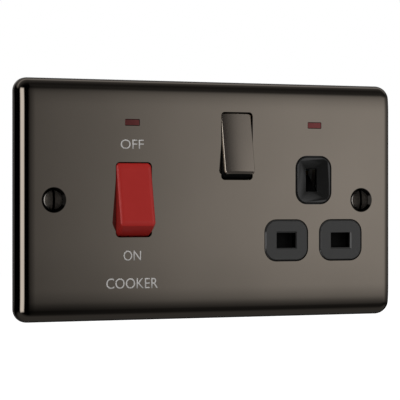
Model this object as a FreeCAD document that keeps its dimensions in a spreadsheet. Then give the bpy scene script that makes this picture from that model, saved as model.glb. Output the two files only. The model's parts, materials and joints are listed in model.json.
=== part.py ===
"""Cooker control unit: 45 A rocker switch beside a switched 13 A socket on a pressed metal plate.

Frame: origin on the wall plane, midway between the two fixing screws.
+X runs right as seen from the room, +Z up and +Y into the wall. Millimetres.
Both rockers stand at OFF, with their top ends pressed in.
"""
import FreeCAD, Part
import math
import os
import re

import Sketcher

Vector = FreeCAD.Vector
document = FreeCAD.newDocument("CookerControlUnit")
sheet = document.addObject("Spreadsheet::Sheet", "Sizes")

SIZES = [
    ("plateWidth", 147, "plate, left to right"),
    ("plateHeight", 86, "plate, bottom to top"),
    ("plateDepth", 6.5, "wall plane to the flat of the face"),
    ("cornerRadius", 4.8, "plate corners seen from the front"),
    ("rimRoll", 4, "rolled front edge of the plate"),
    ("sheetThickness", 1.1, "pressed sheet"),
    ("innerBevel", 1.9, "inside of the rolled edge"),
    ("fixingSpan", 120.6, "centres of the two fixing screws"),
    ("fixingHoleRadius", 2, "hole for an M3.5 screw"),
    ("countersinkRadius", 4.4, "mouth of the pressed countersink"),
    ("fixingShankRadius", 1.75, "M3.5"),
    ("fixingHeadRadius", 3.45, "raised countersunk head"),
    ("fixingHeadRise", 0.9, "height of the head's dome"),
    ("fixingLength", 25, "screw, from the head's rim to its end"),
    ("slotWidth", 0.8, "screwdriver slot in the fixing screws"),
    ("slotDepth", 0.85, "the same slot"),
    ("cookerX", -30.5, "cooker switch, centre across"),
    ("cookerApertureZ", 0.1, "its aperture, centre height"),
    ("cookerApertureWidth", 13.75, ""),
    ("cookerApertureHeight", 26.8, ""),
    ("cookerApertureRadius", 1.6, ""),
    ("cookerPivotZ", 0.2, "pivot of the cooker rocker"),
    ("cookerEndRadius", 13.85, "rocker's ends, about its pivot"),
    ("cookerFace", 8.4, "pivot to the rocker's face"),
    ("cookerSwing", 25, "rocker, OFF to ON, degrees"),
    ("socketSwitchX", 9.55, "socket switch, centre across"),
    ("socketApertureZ", 19.62, "its aperture, centre height"),
    ("socketApertureWidth", 12.55, ""),
    ("socketApertureHeight", 24.74, ""),
    ("socketApertureRadius", 1.4, ""),
    ("socketPivotZ", 19.6, "pivot of the socket rocker"),
    ("socketEndRadius", 12.6, "its moulded ends, about its pivot"),
    ("socketFace", 7, "pivot to the face of its metal cap"),
    ("socketFaceHalf", 11, "half the length of the cap"),
    ("capCorner", 0.8, "corners of the cap"),
    ("capCrown", 0.3, "rise of its face from the sides to the middle"),
    ("capThickness", 0.9, "metal cap of the socket rocker"),
    ("socketSwing", 22, "rocker, OFF to ON, degrees"),
    ("rockerBack", 1.2, "pivot to the back edge of both rockers"),
    ("rockerWall", 1.5, "moulded walls of both rockers"),
    ("rockerCorner", 0.9, "bevelled corners of both rockers"),
    ("rockerBevel", 0.6, "bevel round the cooker rocker's face"),
    ("wellMargin", 0.9, "flange aperture beyond the plate's, above and below"),
    ("wellSide", 0.3, "the same, to each side"),
    ("cheekReach", 3.4, "cheek behind the pivot"),
    ("cheekHalf", 4.5, "half height of a cheek"),
    ("trunnionLength", 2.3, ""),
    ("pivotY", -0.9, "depth of both rocker pivots"),
    ("trunnionRadius", 1.6, "moulded pivots of both rockers"),
    ("runningFit", 0.05, "radial play of pins and plungers"),
    ("rockerGap", 0.28, "gap beside each rocker"),
    ("cheekThickness", 2, "bearing cheeks behind the flange"),
    ("socketX", 40.5, "centre line of the socket"),
    ("pinLineZ", -14.85, "height of the line and neutral pins"),
    ("pinSpacing", 22.23, "line to neutral, and up to earth"),
    ("pinHoleWidth", 8, "line and neutral apertures"),
    ("pinHoleHeight", 5.6, ""),
    ("earthHoleWidth", 4.6, "earth aperture"),
    ("earthHoleHeight", 8.6, ""),
    ("pinPadWidth", 17.8, "plate aperture round a line or neutral pad"),
    ("pinPadHeight", 15.5, ""),
    ("pinPadRadius", 4.8, ""),
    ("earthPadWidth", 14.8, "plate aperture round the earth pad"),
    ("earthPadHeight", 18, ""),
    ("earthPadRadius", 4.6, ""),
    ("padGap", 0.25, "gap round each pad"),
    ("padRise", 0.4, "pads stand proud of the face"),
    ("padEdge", 0.5, "soft edge of the pads"),
    ("earthRing", 1.7, "flat ring round the earth dish"),
    ("earthDishDepth", 2.2, "depth of the earth dish"),
    ("cookerNeonX", -31.05, "cooker neon window"),
    ("socketNeonX", 40.9, "socket neon window"),
    ("neonZ", 27.6, "height of both windows"),
    ("neonWidth", 5.6, ""),
    ("neonHeight", 2.4, ""),
    ("neonFit", 0.12, "gap round the lens in its window"),
    ("lampRadius", 2, "neon lamp"),
    ("lampLength", 11, ""),
    ("lensFlange", 0.8, "lens collar, beyond the window on each side and in depth"),
    ("lensTail", 0.7, "lens behind the flange"),
    ("lampGap", 0.15, "lens to its lamp"),
    ("resistorRadius", 1.1, ""),
    ("resistorLength", 6, ""),
    ("flangeSide", 11.5, "plate's end to the front moulding's flange"),
    ("flangeTop", 7, "plate's top to the same"),
    ("flangeThickness", 2.4, ""),
    ("lugRoom", 6.6, "room round each fixing lug of the wall box"),
    ("wallThickness", 1.8, "moulded walls"),
    ("jointLap", 0.1, "moulded bosses run into their walls"),
    ("slotRoom", 0.3, "slot beyond a strap, to each side"),
    ("slotPlay", 0.2, "slot beyond a strap or link, in depth"),
    ("ribThickness", 1.5, "ribs that carry the line strap"),
    ("housingRear", 20, "wall plane to the back of both housings"),
    ("housingHalfHeight", 34.5, "wall box room above and below"),
    ("switchHousingHalf", 21, "half width of the switch housing"),
    ("chamberShare", 0.536, "its closed chamber, as a share of the housings' height"),
    ("chamberHalf", "housingHalfHeight * chamberShare", "half height of that chamber"),
    ("bayFloor", 7, "front of the terminal bays"),
    ("socketHousingLeft", -7, "left side of the socket housing"),
    ("socketHousingRight", 53.5, "its right side above the pins"),
    ("pinSideRight", 59.2, "its right side at the pins"),
    ("pinSideTop", -8, "top of that wider part"),
    ("bayShare", 0.493, "bottom of the earth terminal bay, as a share of the same height"),
    ("socketBayZ", "housingHalfHeight * bayShare", "bottom of that bay"),
    ("socketBayX", 21, "left side of that bay"),
    ("plungerReach", 9, "pivot to the tip of a plunger"),
    ("plungerRadius", 1.5, ""),
    ("plungerTip", 1.1, "cone on its tip"),
    ("plungerLength", 6.6, ""),
    ("plungerTube", 5, "pivot to the mouth of a plunger's tube"),
    ("tubeRadius", 2.2, ""),
    ("tubeFloor", 5.6, "pivot to the closed end of that tube"),
    ("springRadius", 1.15, "plunger springs"),
    ("springWire", 0.22, "radius of the wire"),
    ("plungerOffset", 3.6, "cooker plungers, to each side"),
    ("plungerLash", 0.16, "play between tip and arm at mid swing"),
    ("armWidth", 4.6, "rocking contact arm"),
    ("armThickness", 1, ""),
    ("armReach", 10.5, "pivot to each end of an arm"),
    ("armWing", 12.7, "rise of each wing, degrees"),
    ("armSwing", 16, "arm, OFF to ON, degrees"),
    ("contactReach", 8.6, "pivot to the contact tips"),
    ("contactRadius", 1.7, "silver tips"),
    ("contactThickness", 0.8, ""),
    ("contactLash", 0.08, "gap between closed tips"),
    ("strapThickness", 1.2, "brass straps"),
    ("strapOuter", 12.6, "outer edge of a terminal's strap"),
    ("strapInner", 6.7, "inner edge of the same"),
    ("strapAside", 4.3, "line strap, beside the socket switch"),
    ("strapWidth", 3.1, "the same strap on its way to its clip"),
    ("strapRoom", 1.5, "the same strap, below the neutral clip"),
    ("strapTurn", 4.5, "chamber's end to a terminal strap's turn"),
    ("strapBand", 3, "the same strap across that turn"),
    ("strapEnd", 0.3, "straps beyond their knife edges and tips"),
    ("knifeRise", 2.2, "rocking edge above its strap"),
    ("knifePlay", 0.02, "between that edge and its arm"),
    ("terminalOffset", 10.2, "terminal, each side of the switch"),
    ("terminalWidth", 11, ""),
    ("terminalDepth", 11, ""),
    ("terminalLength", 10, ""),
    ("terminalBore", 3.1, "wire entry, radius"),
    ("boreSkin", 1.1, "brass in front of a wire entry"),
    ("boreStop", 1, "brass at its closed end"),
    ("terminalSetback", 2, "block's end inside the bay's mouth"),
    ("clampRadius", 2, "clamp screw"),
    ("clampRise", 1.6, "clamp screws stand out of their blocks"),
    ("earthBlockX", 36, "earth terminal, centre across"),
    ("earthBlockWidth", 24, ""),
    ("earthBoreSpacing", 12, ""),
    ("clipThickness", 0.8, "contact clips"),
    ("clipGap", 3.7, "between the leaves"),
    ("clipFront", 1.2, "front of the clips"),
    ("earthClipFront", 5.6, "front of the earth clip"),
    ("earthClipBack", 16.4, ""),
    ("clipFlare", 0.9, "mouth of each clip, to each side"),
    ("clipMouth", 2, "depth of that flare"),
    ("lineClipWidth", 6.6, ""),
    ("earthClipWidth", 7.4, ""),
    ("tailWidth", 5, "earth clip's tail"),
    ("shutterThickness", 2.4, ""),
    ("shutterGap", 0.3, "behind the flange"),
    ("shutterTravel", 6.6, ""),
    ("shutterHeight", 7, "blades that cover the pin holes"),
    ("shutterLap", 1, "blade beyond a hole's side"),
    ("stemWidth", 6.4, "shutter's stem"),
    ("shutterSpringRadius", 1.2, ""),
    ("wedgeDepth", 7.5, "ramp behind the earth hole"),
    ("wedgeFoot", 1.5, "foot of that ramp"),
    ("guideFoot", 2, "stem's guides, above the blades"),
    ("guideLength", 7, ""),
    ("linkThickness", 1, "copper links between the two halves"),
    ("linkY", 15.4, "front of the links"),
    ("linkWidth", 4.3, ""),
    ("linkRoom", 1.2, "neutral link, above the chamber's lower wall"),
    ("linkApart", 2.2, "between the links"),
    ("screwRadius", 1.4, "assembly screws"),
    ("screwHeadRadius", 2.7, ""),
    ("screwHeadHeight", 1.8, ""),
    ("screwSetback", 0.3, "assembly screw's end inside the flange"),
    ("bossRoom", 2.8, "screw to the walls and to the free sides of its corner boss"),
]
for row, (alias, value, note) in enumerate(SIZES, 1):
    sheet.set(f"A{row}", note)
    sheet.set(f"B{row}", f"={value}" if isinstance(value, str) else str(value))
    sheet.setAlias(f"B{row}", alias)
document.recompute()
ALIASES = {alias for alias, value, note in SIZES}
PLANES = {"XZ": ("XZ_Plane", -1), "YZ": ("YZ_Plane", 1), "XY": ("XY_Plane", 1)}


def linked(expression):
    return re.sub(r"[A-Za-z]\w*", lambda word: f"Sizes.{word[0]}" if word[0] in ALIASES else word[0], str(expression))


def size(expression):
    return float(sheet.evalExpression(str(expression)))


def bind(feature, name, expression):
    feature.setExpression(name, linked(expression))


def newBody(label):
    body = document.addObject("PartDesign::Body", label)
    body.Label = label
    return body


def newSketch(body, plane, offset, name):
    role, sign = PLANES[plane]
    drawing = body.newObject("Sketcher::SketchObject", name)
    support = [feature for feature in body.Origin.OriginFeatures if feature.Role == role]
    drawing.AttachmentSupport = [(support[0], "")]
    drawing.MapMode = "FlatFace"
    bind(drawing, "AttachmentOffset.Base.z", f"{sign} * ({offset})")
    return drawing


def fix(drawing, constraint, name, expression):
    index = drawing.addConstraint(constraint)
    drawing.renameConstraint(index, name)
    bind(drawing, f"Constraints.{name}", expression)


def roundedRectangle(centre, width, height, radius):
    """A drawing of a rectangle with four equal arcs, placed by its right and top sides."""
    def draw(drawing):
        u, v = size(centre[0]), size(centre[1])
        x, y, r = size(width) / 2, size(height) / 2, size(radius)
        corners = [(x - r, -y + r, -90), (x - r, y - r, 0), (-x + r, y - r, 90), (-x + r, -y + r, 180)]
        lines = [((-x + r, -y), (x - r, -y)), ((x, -y + r), (x, y - r)),
                 ((x - r, y), (-x + r, y)), ((-x, y - r), (-x, -y + r))]
        shapes = []
        for (start, end), (cu, cv, angle) in zip(lines, corners):
            first = Vector(u + start[0], v + start[1], 0)
            last = Vector(u + end[0], v + end[1], 0)
            shapes.append(drawing.addGeometry(Part.LineSegment(first, last), False))
            ring = Part.Circle(Vector(u + cu, v + cv, 0), Vector(0, 0, 1), r)
            arc = Part.ArcOfCircle(ring, math.radians(angle), math.radians(angle + 90))
            shapes.append(drawing.addGeometry(arc, False))
        for index, shape in enumerate(shapes):
            after = shapes[(index + 1) % 8]
            drawing.addConstraint(Sketcher.Constraint("Tangent", shape, 2, after, 1))
        for index in (0, 4):
            drawing.addConstraint(Sketcher.Constraint("Horizontal", shapes[index]))
            drawing.addConstraint(Sketcher.Constraint("Vertical", shapes[index + 2]))
        for index in (3, 5, 7):
            drawing.addConstraint(Sketcher.Constraint("Equal", shapes[1], shapes[index]))
        fix(drawing, Sketcher.Constraint("Radius", shapes[1], r), "corner", radius)
        fix(drawing, Sketcher.Constraint("DistanceX", shapes[6], 1, shapes[2], 1, 2 * x), "across", width)
        fix(drawing, Sketcher.Constraint("DistanceY", shapes[0], 1, shapes[4], 1, 2 * y), "upright", height)
        fix(drawing, Sketcher.Constraint("DistanceX", -1, 1, shapes[2], 1, u + x), "right",
            f"({centre[0]}) + ({width}) / 2")
        fix(drawing, Sketcher.Constraint("DistanceY", -1, 1, shapes[4], 1, v + y), "top",
            f"({centre[1]}) + ({height}) / 2")
    return draw


def polygon(*points):
    """A drawing of straight lines through points, each coordinate bound to its own expression."""
    def draw(drawing):
        places = [Vector(size(u), size(v), 0) for u, v in points]
        shapes = []
        for index, place in enumerate(places):
            after = places[(index + 1) % len(places)]
            shapes.append(drawing.addGeometry(Part.LineSegment(place, after), False))
        for index, shape in enumerate(shapes):
            after = shapes[(index + 1) % len(shapes)]
            drawing.addConstraint(Sketcher.Constraint("Coincident", shape, 2, after, 1))
        for index, (u, v) in enumerate(points):
            place = places[index]
            fix(drawing, Sketcher.Constraint("DistanceX", -1, 1, shapes[index], 1, place.x), f"across{index}", u)
            fix(drawing, Sketcher.Constraint("DistanceY", -1, 1, shapes[index], 1, place.y), f"upright{index}", v)
    return draw


def rectangle(left, right, bottom, top):
    return polygon((left, bottom), (right, bottom), (right, top), (left, top))


def centred(u, v, width, height):
    return rectangle(f"{u} - ({width}) / 2", f"{u} + ({width}) / 2", f"{v} - ({height}) / 2", f"{v} + ({height}) / 2")


def circles(radius, *centres):
    def draw(drawing):
        for index, (u, v) in enumerate(centres):
            place = Vector(size(u), size(v), 0)
            ring = drawing.addGeometry(Part.Circle(place, Vector(0, 0, 1), size(radius)), False)
            fix(drawing, Sketcher.Constraint("Radius", ring, size(radius)), f"ring{index}", radius)
            fix(drawing, Sketcher.Constraint("DistanceX", -1, 1, ring, 3, place.x), f"across{index}", u)
            fix(drawing, Sketcher.Constraint("DistanceY", -1, 1, ring, 3, place.y), f"upright{index}", v)
    return draw


def hexagon(radius, u, v):
    corners = [(f"{u} + ({radius}) * cos({turn}deg)", f"{v} + ({radius}) * sin({turn}deg)") for turn in range(0, 360, 60)]
    return polygon(*corners)


def addPrism(body, name, plane, low, high, draw):
    """Material between two depths of a plane: y for XZ, x for YZ and z for XY."""
    start = low if PLANES[plane][1] > 0 else high
    profile = newSketch(body, plane, start, f"{name}_outline")
    draw(profile)
    feature = body.newObject("PartDesign::Pad", name)
    feature.Profile = profile
    bind(feature, "Length", f"({high}) - ({low})")
    return feature


def cutPrism(body, name, plane, low, high, draw):
    start = high if PLANES[plane][1] > 0 else low
    profile = newSketch(body, plane, start, f"{name}_outline")
    draw(profile)
    feature = body.newObject("PartDesign::Pocket", name)
    feature.Profile = profile
    bind(feature, "Length", f"({high}) - ({low})")
    return feature


def crowned(half, front, rise, back):
    """A drawing of a bar's section whose front is one arc, with its middle on the centre line."""
    def draw(drawing):
        reach, top, sag, floor = size(half), size(front), size(rise), size(back)
        radius = (reach ** 2 + sag ** 2) / (2 * sag)
        turn = math.asin(reach / radius)
        ring = Part.Circle(Vector(0, top + radius, 0), Vector(0, 0, 1), radius)
        arc = drawing.addGeometry(Part.ArcOfCircle(ring, -math.pi / 2 - turn, -math.pi / 2 + turn), False)
        corners = [Vector(reach, top + sag, 0), Vector(reach, floor, 0), Vector(-reach, floor, 0),
                   Vector(-reach, top + sag, 0)]
        lines = [drawing.addGeometry(Part.LineSegment(*ends), False) for ends in zip(corners, corners[1:])]
        for before, after in zip([arc] + lines, lines + [arc]):
            drawing.addConstraint(Sketcher.Constraint("Coincident", before, 2, after, 1))
        fix(drawing, Sketcher.Constraint("Radius", arc, radius), "bow",
            f"(({half}) ^ 2 + ({rise}) ^ 2) / (2 * ({rise}))")
        for index, (u, v) in enumerate([(half, f"{front} + ({rise})"), (half, back), (f"-({half})", back)]):
            fix(drawing, Sketcher.Constraint("DistanceX", -1, 1, lines[index], 1, corners[index].x), f"across{index}", u)
            fix(drawing, Sketcher.Constraint("DistanceY", -1, 1, lines[index], 1, corners[index].y), f"upright{index}", v)
        fix(drawing, Sketcher.Constraint("DistanceX", -1, 1, arc, 1, -reach), "left", f"-({half})")
        fix(drawing, Sketcher.Constraint("DistanceY", -1, 1, arc, 1, top + sag), "low", f"{front} + ({rise})")
    return draw


def edgesWhere(shape, wanted):
    return [f"Edge{index}" for index, edge in enumerate(shape.Edges, 1) if wanted(edge)]


def middle(edge):
    return edge.valueAt((edge.FirstParameter + edge.LastParameter) / 2)


def addFillet(body, name, radius, wanted):
    body.recompute(True)
    base = body.Tip
    feature = body.newObject("PartDesign::Fillet", name)
    feature.Base = (base, edgesWhere(base.Shape, wanted))
    bind(feature, "Radius", radius)
    return feature


def addChamfer(body, name, reach, wanted):
    body.recompute(True)
    base = body.Tip
    feature = body.newObject("PartDesign::Chamfer", name)
    feature.Base = (base, edgesWhere(base.Shape, wanted))
    bind(feature, "Size", reach)
    return feature


def upright(edge):
    """True for a straight edge that runs along Y."""
    box = edge.BoundBox
    return box.YLength > 0.2 and box.XLength < 1e-4 and box.ZLength < 1e-4


def atDepth(y, reach=0.02):
    """True for edges that lie flat at one depth."""
    return lambda edge: abs(edge.BoundBox.YMin - y) < reach and abs(edge.BoundBox.YMax - y) < reach


FACE = "-plateDepth"
SHEET_BACK = "-plateDepth + sheetThickness"
FLANGE_BACK = f"{SHEET_BACK} + flangeThickness"
FIXING_X = ("-fixingSpan / 2", "fixingSpan / 2")
PIN_X = ("socketX - pinSpacing / 2", "socketX + pinSpacing / 2")
EARTH_Z = "pinLineZ + pinSpacing"

# The plate: a drawn sheet with a rolled rim, open at the back, with its apertures pierced through.
plate = newBody("face_plate")
addPrism(plate, "blank", "XZ", FACE, "0",
         roundedRectangle(("0", "0"), "plateWidth", "plateHeight", "cornerRadius"))
cutPrism(plate, "hollow", "XZ", SHEET_BACK, "0",
         roundedRectangle(("0", "0"), "plateWidth - 2 * sheetThickness", "plateHeight - 2 * sheetThickness",
                          "cornerRadius - sheetThickness"))
addChamfer(plate, "inner_rim", "innerBevel", atDepth(size(SHEET_BACK)))
addFillet(plate, "rim", "rimRoll", atDepth(size(FACE)))
for name, x in zip(("left", "right"), FIXING_X):
    dimple = plate.newObject("PartDesign::AdditiveCone", f"{name}_dimple")
    bind(dimple, "Radius1", "countersinkRadius + 0.6 * sheetThickness")
    bind(dimple, "Radius2", "fixingHoleRadius + 0.6 * sheetThickness")
    bind(dimple, "Height", "countersinkRadius - fixingHoleRadius")
    mouth = plate.newObject("PartDesign::SubtractiveCone", f"{name}_countersink")
    bind(mouth, "Radius1", "countersinkRadius")
    bind(mouth, "Radius2", "fixingHoleRadius")
    bind(mouth, "Height", "countersinkRadius - fixingHoleRadius")
    for cone in (dimple, mouth):
        cone.Placement.Rotation = FreeCAD.Rotation(Vector(1, 0, 0), -90)
        bind(cone, "Placement.Base.x", x)
        bind(cone, "Placement.Base.y", FACE)
cutPrism(plate, "fixing_holes", "XZ", FACE, "0",
         circles("fixingHoleRadius", (FIXING_X[0], "0"), (FIXING_X[1], "0")))
APERTURES = [
    ("cooker_aperture", ("cookerX", "cookerApertureZ"),
     "cookerApertureWidth", "cookerApertureHeight", "cookerApertureRadius"),
    ("socket_aperture", ("socketSwitchX", "socketApertureZ"),
     "socketApertureWidth", "socketApertureHeight", "socketApertureRadius"),
    ("neutral_aperture", (PIN_X[0], "pinLineZ"), "pinPadWidth", "pinPadHeight", "pinPadRadius"),
    ("line_aperture", (PIN_X[1], "pinLineZ"), "pinPadWidth", "pinPadHeight", "pinPadRadius"),
    ("earth_aperture", ("socketX", EARTH_Z), "earthPadWidth", "earthPadHeight", "earthPadRadius"),
]
for name, centre, width, height, radius in APERTURES:
    cutPrism(plate, name, "XZ", FACE, "0", roundedRectangle(centre, width, height, radius))
for name, x in (("cooker", "cookerNeonX"), ("socket", "socketNeonX")):
    cutPrism(plate, f"{name}_window", "XZ", FACE, "0", centred(x, "neonZ", "neonWidth", "neonHeight"))


ARM_Y = "pivotY + plungerReach + plungerLash + armThickness / cos(armWing * 1deg)"
STRAP_FRONT = f"{ARM_Y} + knifeRise"
STRAP_BACK = f"{STRAP_FRONT} + strapThickness"
STRAP_RUN = "pinLineZ - clipGap / 2 - clipThickness - strapRoom"
SWITCH_SIDES = ("cookerX - switchHousingHalf", "cookerX + switchHousingHalf")
BOSS_INSET = "wallThickness + bossRoom"
SCREWS = [
    (f"{SWITCH_SIDES[0]} + {BOSS_INSET}", f"-chamberHalf + {BOSS_INSET}"),
    (f"{SWITCH_SIDES[1]} - ({BOSS_INSET})", f"chamberHalf - ({BOSS_INSET})"),
    (f"socketHousingLeft + {BOSS_INSET}", f"housingHalfHeight - ({BOSS_INSET})"),
    (f"pinSideRight - ({BOSS_INSET})", f"-housingHalfHeight + {BOSS_INSET}"),
]

# Front moulding: a flange behind the plate, with the raised socket pads and both rockers' bearings.
front = newBody("front_moulding")
addPrism(front, "flange", "XZ", SHEET_BACK, FLANGE_BACK,
         centred("0", "0", "plateWidth - 2 * flangeSide", "plateHeight - 2 * flangeTop"))
for name, sign in (("left", -1), ("right", 1)):
    cutPrism(front, f"{name}_lug_room", "XZ", SHEET_BACK, FLANGE_BACK,
             rectangle(f"{sign} * (fixingSpan / 2 - lugRoom)", f"{sign} * plateWidth",
                       "-lugRoom", "lugRoom"))
PADS = [
    ("neutral", (PIN_X[0], "pinLineZ"), "pinPadWidth", "pinPadHeight", "pinPadRadius"),
    ("line", (PIN_X[1], "pinLineZ"), "pinPadWidth", "pinPadHeight", "pinPadRadius"),
    ("earth", ("socketX", EARTH_Z), "earthPadWidth", "earthPadHeight", "earthPadRadius"),
]
PAD_FRONT = f"{FACE} - padRise"
for name, centre, width, height, radius in PADS:
    addPrism(front, f"{name}_pad", "XZ", PAD_FRONT, SHEET_BACK,
             roundedRectangle(centre, f"{width} - 2 * padGap", f"{height} - 2 * padGap", f"{radius} - padGap"))
addChamfer(front, "pad_edges", "padEdge", atDepth(size(PAD_FRONT)))
DISH_FLOOR = f"{PAD_FRONT} + earthDishDepth"
mouth = newSketch(front, "XZ", PAD_FRONT, "dish_mouth")
centred("socketX", EARTH_Z, "earthPadWidth - 2 * padGap - 2 * earthRing",
        "earthPadHeight - 2 * padGap - 2 * earthRing")(mouth)
floor = newSketch(front, "XZ", DISH_FLOOR, "dish_floor")
centred("socketX", EARTH_Z, "earthHoleWidth", "earthHoleHeight")(floor)
dish = front.newObject("PartDesign::SubtractiveLoft", "earth_dish")
dish.Profile = mouth
dish.Sections = [floor]
dish.Ruled = True
for name, x in zip(("neutral", "line"), PIN_X):
    cutPrism(front, f"{name}_hole", "XZ", PAD_FRONT, FLANGE_BACK,
             rectangle(f"{x} - pinHoleWidth / 2", f"{x} + pinHoleWidth / 2",
                       "pinLineZ - pinHoleHeight / 2", "pinLineZ + pinHoleHeight / 2"))
cutPrism(front, "earth_hole", "XZ", PAD_FRONT, FLANGE_BACK,
         rectangle("socketX - earthHoleWidth / 2", "socketX + earthHoleWidth / 2",
                   f"{EARTH_Z} - earthHoleHeight / 2", f"{EARTH_Z} + earthHoleHeight / 2"))
WELLS = [
    ("cooker", "cookerX", "cookerPivotZ", "cookerApertureZ", "cookerApertureWidth", "cookerApertureHeight"),
    ("socket", "socketSwitchX", "socketPivotZ", "socketApertureZ", "socketApertureWidth", "socketApertureHeight"),
]
for name, x, pivot, z, width, height in WELLS:
    cutPrism(front, f"{name}_well", "XZ", SHEET_BACK, FLANGE_BACK,
             rectangle(f"{x} - {width} / 2 - wellSide", f"{x} + {width} / 2 + wellSide",
                       f"{z} - {height} / 2 - wellMargin", f"{z} + {height} / 2 + wellMargin"))
    for side, sign in (("left", -1), ("right", 1)):
        near = f"{x} + {sign} * ({width} / 2 + wellSide)"
        far = f"{near} + {sign} * cheekThickness"
        low, high = (far, near) if sign < 0 else (near, far)
        addPrism(front, f"{name}_{side}_cheek", "YZ", low, high,
                 rectangle(FLANGE_BACK, "pivotY + cheekReach", f"{pivot} - cheekHalf", f"{pivot} + cheekHalf"))
    cutPrism(front, f"{name}_bearings", "YZ", f"{x} - {width}", f"{x} + {width}",
             circles("trunnionRadius + runningFit", ("pivotY", pivot)))
for side, sign in (("left", -1), ("right", 1)):
    near = f"socketX + {sign} * (stemWidth / 2 + shutterGap)"
    far = f"{near} + {sign} * wallThickness"
    low, high = (far, near) if sign < 0 else (near, far)
    addPrism(front, f"{side}_shutter_guide", "XZ", FLANGE_BACK, f"{FLANGE_BACK} + shutterGap + shutterThickness",
             rectangle(low, high, "pinLineZ + shutterHeight / 2 + guideFoot",
                       "pinLineZ + shutterHeight / 2 + guideFoot + guideLength"))
for name, x in (("cooker", "cookerNeonX"), ("socket", "socketNeonX")):
    cutPrism(front, f"{name}_collar_seat", "XZ", SHEET_BACK, f"{SHEET_BACK} + lensFlange",
             centred(x, "neonZ", "neonWidth + 2 * lensFlange + 2 * neonFit",
                     "neonHeight + 2 * lensFlange + 2 * neonFit"))
    cutPrism(front, f"{name}_light_hole", "XZ", SHEET_BACK, FLANGE_BACK,
             centred(x, "neonZ", "neonWidth", "neonHeight"))
cutPrism(front, "screw_holes", "XZ", SHEET_BACK, FLANGE_BACK, circles("screwRadius + runningFit", *SCREWS))

# Rear housings: a closed chamber for the moving contacts, and open bays for the wiring.
switchHousing = newBody("switch_housing")
addPrism(switchHousing, "base", "XZ", FLANGE_BACK, "bayFloor",
         rectangle(*SWITCH_SIDES, "-housingHalfHeight", "housingHalfHeight"))
addPrism(switchHousing, "chamber", "XZ", "bayFloor", "housingRear",
         rectangle(*SWITCH_SIDES, "-chamberHalf", "chamberHalf"))
BAYS = (("upper", 1), ("lower", -1))
BARRIERS = [
    ("left", SWITCH_SIDES[0], f"{SWITCH_SIDES[0]} + wallThickness"),
    ("middle", "cookerX - wallThickness / 2", "cookerX + wallThickness / 2"),
    ("right", f"{SWITCH_SIDES[1]} - wallThickness", SWITCH_SIDES[1]),
]
for bay, sign in BAYS:
    low, high = ("chamberHalf", "housingHalfHeight") if sign > 0 else ("-housingHalfHeight", "-chamberHalf")
    for side, left, right in BARRIERS:
        addPrism(switchHousing, f"{bay}_{side}_barrier", "XZ", "bayFloor", "housingRear",
                 rectangle(left, right, low, high))
INNER_LEFT = f"{SWITCH_SIDES[0]} + wallThickness"
INNER_RIGHT = f"{SWITCH_SIDES[1]} - wallThickness"
cutPrism(switchHousing, "base_hollow", "XZ", FLANGE_BACK, "bayFloor - wallThickness",
         rectangle(INNER_LEFT, INNER_RIGHT, "-housingHalfHeight + wallThickness",
                   "housingHalfHeight - wallThickness"))
cutPrism(switchHousing, "chamber_hollow", "XZ", FLANGE_BACK, "housingRear - wallThickness",
         rectangle(INNER_LEFT, INNER_RIGHT, "-chamberHalf + wallThickness", "chamberHalf - wallThickness"))
for index, place in enumerate(SCREWS[:2], 1):
    addPrism(switchHousing, f"screw_boss_{index}", "XZ", FLANGE_BACK, "housingRear",
             centred(*place, "2 * (bossRoom + jointLap)", "2 * (bossRoom + jointLap)"))
cutPrism(switchHousing, "screw_holes", "XZ", FLANGE_BACK, "housingRear",
         circles("screwRadius + runningFit", *SCREWS[:2]))
for side, sign in (("line", -1), ("neutral", 1)):
    edges = [f"cookerX + {sign} * (strapInner - slotRoom)", f"cookerX + {sign} * (strapOuter + slotRoom)"]
    for bay, up in BAYS:
        cutPrism(switchHousing, f"{side}_{bay}_slot", "XZ", f"{STRAP_FRONT} - slotPlay", f"{STRAP_BACK} + slotPlay",
                 rectangle(*edges, f"{up} * (chamberHalf - 2 * wallThickness)", f"{up} * (chamberHalf + wallThickness)"))
LINK_LOW = "-chamberHalf + wallThickness + linkRoom"
LINKS = {"neutral": (LINK_LOW, f"{LINK_LOW} + linkWidth"),
         "line": (f"{LINK_LOW} + linkWidth + linkApart", f"{LINK_LOW} + 2 * linkWidth + linkApart")}
for name, (low, high) in LINKS.items():
    cutPrism(switchHousing, f"{name}_link_slot", "XZ", "linkY - slotPlay", "linkY + linkThickness + slotPlay",
             rectangle(f"{SWITCH_SIDES[1]} - 2 * wallThickness", f"{SWITCH_SIDES[1]} + wallThickness",
                       f"{low} - slotPlay", f"{high} + slotPlay"))

socketHousing = newBody("socket_housing")


def socketOutline(inset):
    return polygon(
        (f"socketHousingLeft + {inset}", f"-housingHalfHeight + {inset}"),
        (f"pinSideRight - {inset}", f"-housingHalfHeight + {inset}"),
        (f"pinSideRight - {inset}", f"pinSideTop - {inset}"),
        (f"socketHousingRight - {inset}", f"pinSideTop - {inset}"),
        (f"socketHousingRight - {inset}", f"socketBayZ - {inset}"),
        (f"socketBayX - {inset}", f"socketBayZ - {inset}"),
        (f"socketBayX - {inset}", f"housingHalfHeight - {inset}"),
        (f"socketHousingLeft + {inset}", f"housingHalfHeight - {inset}"))


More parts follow.
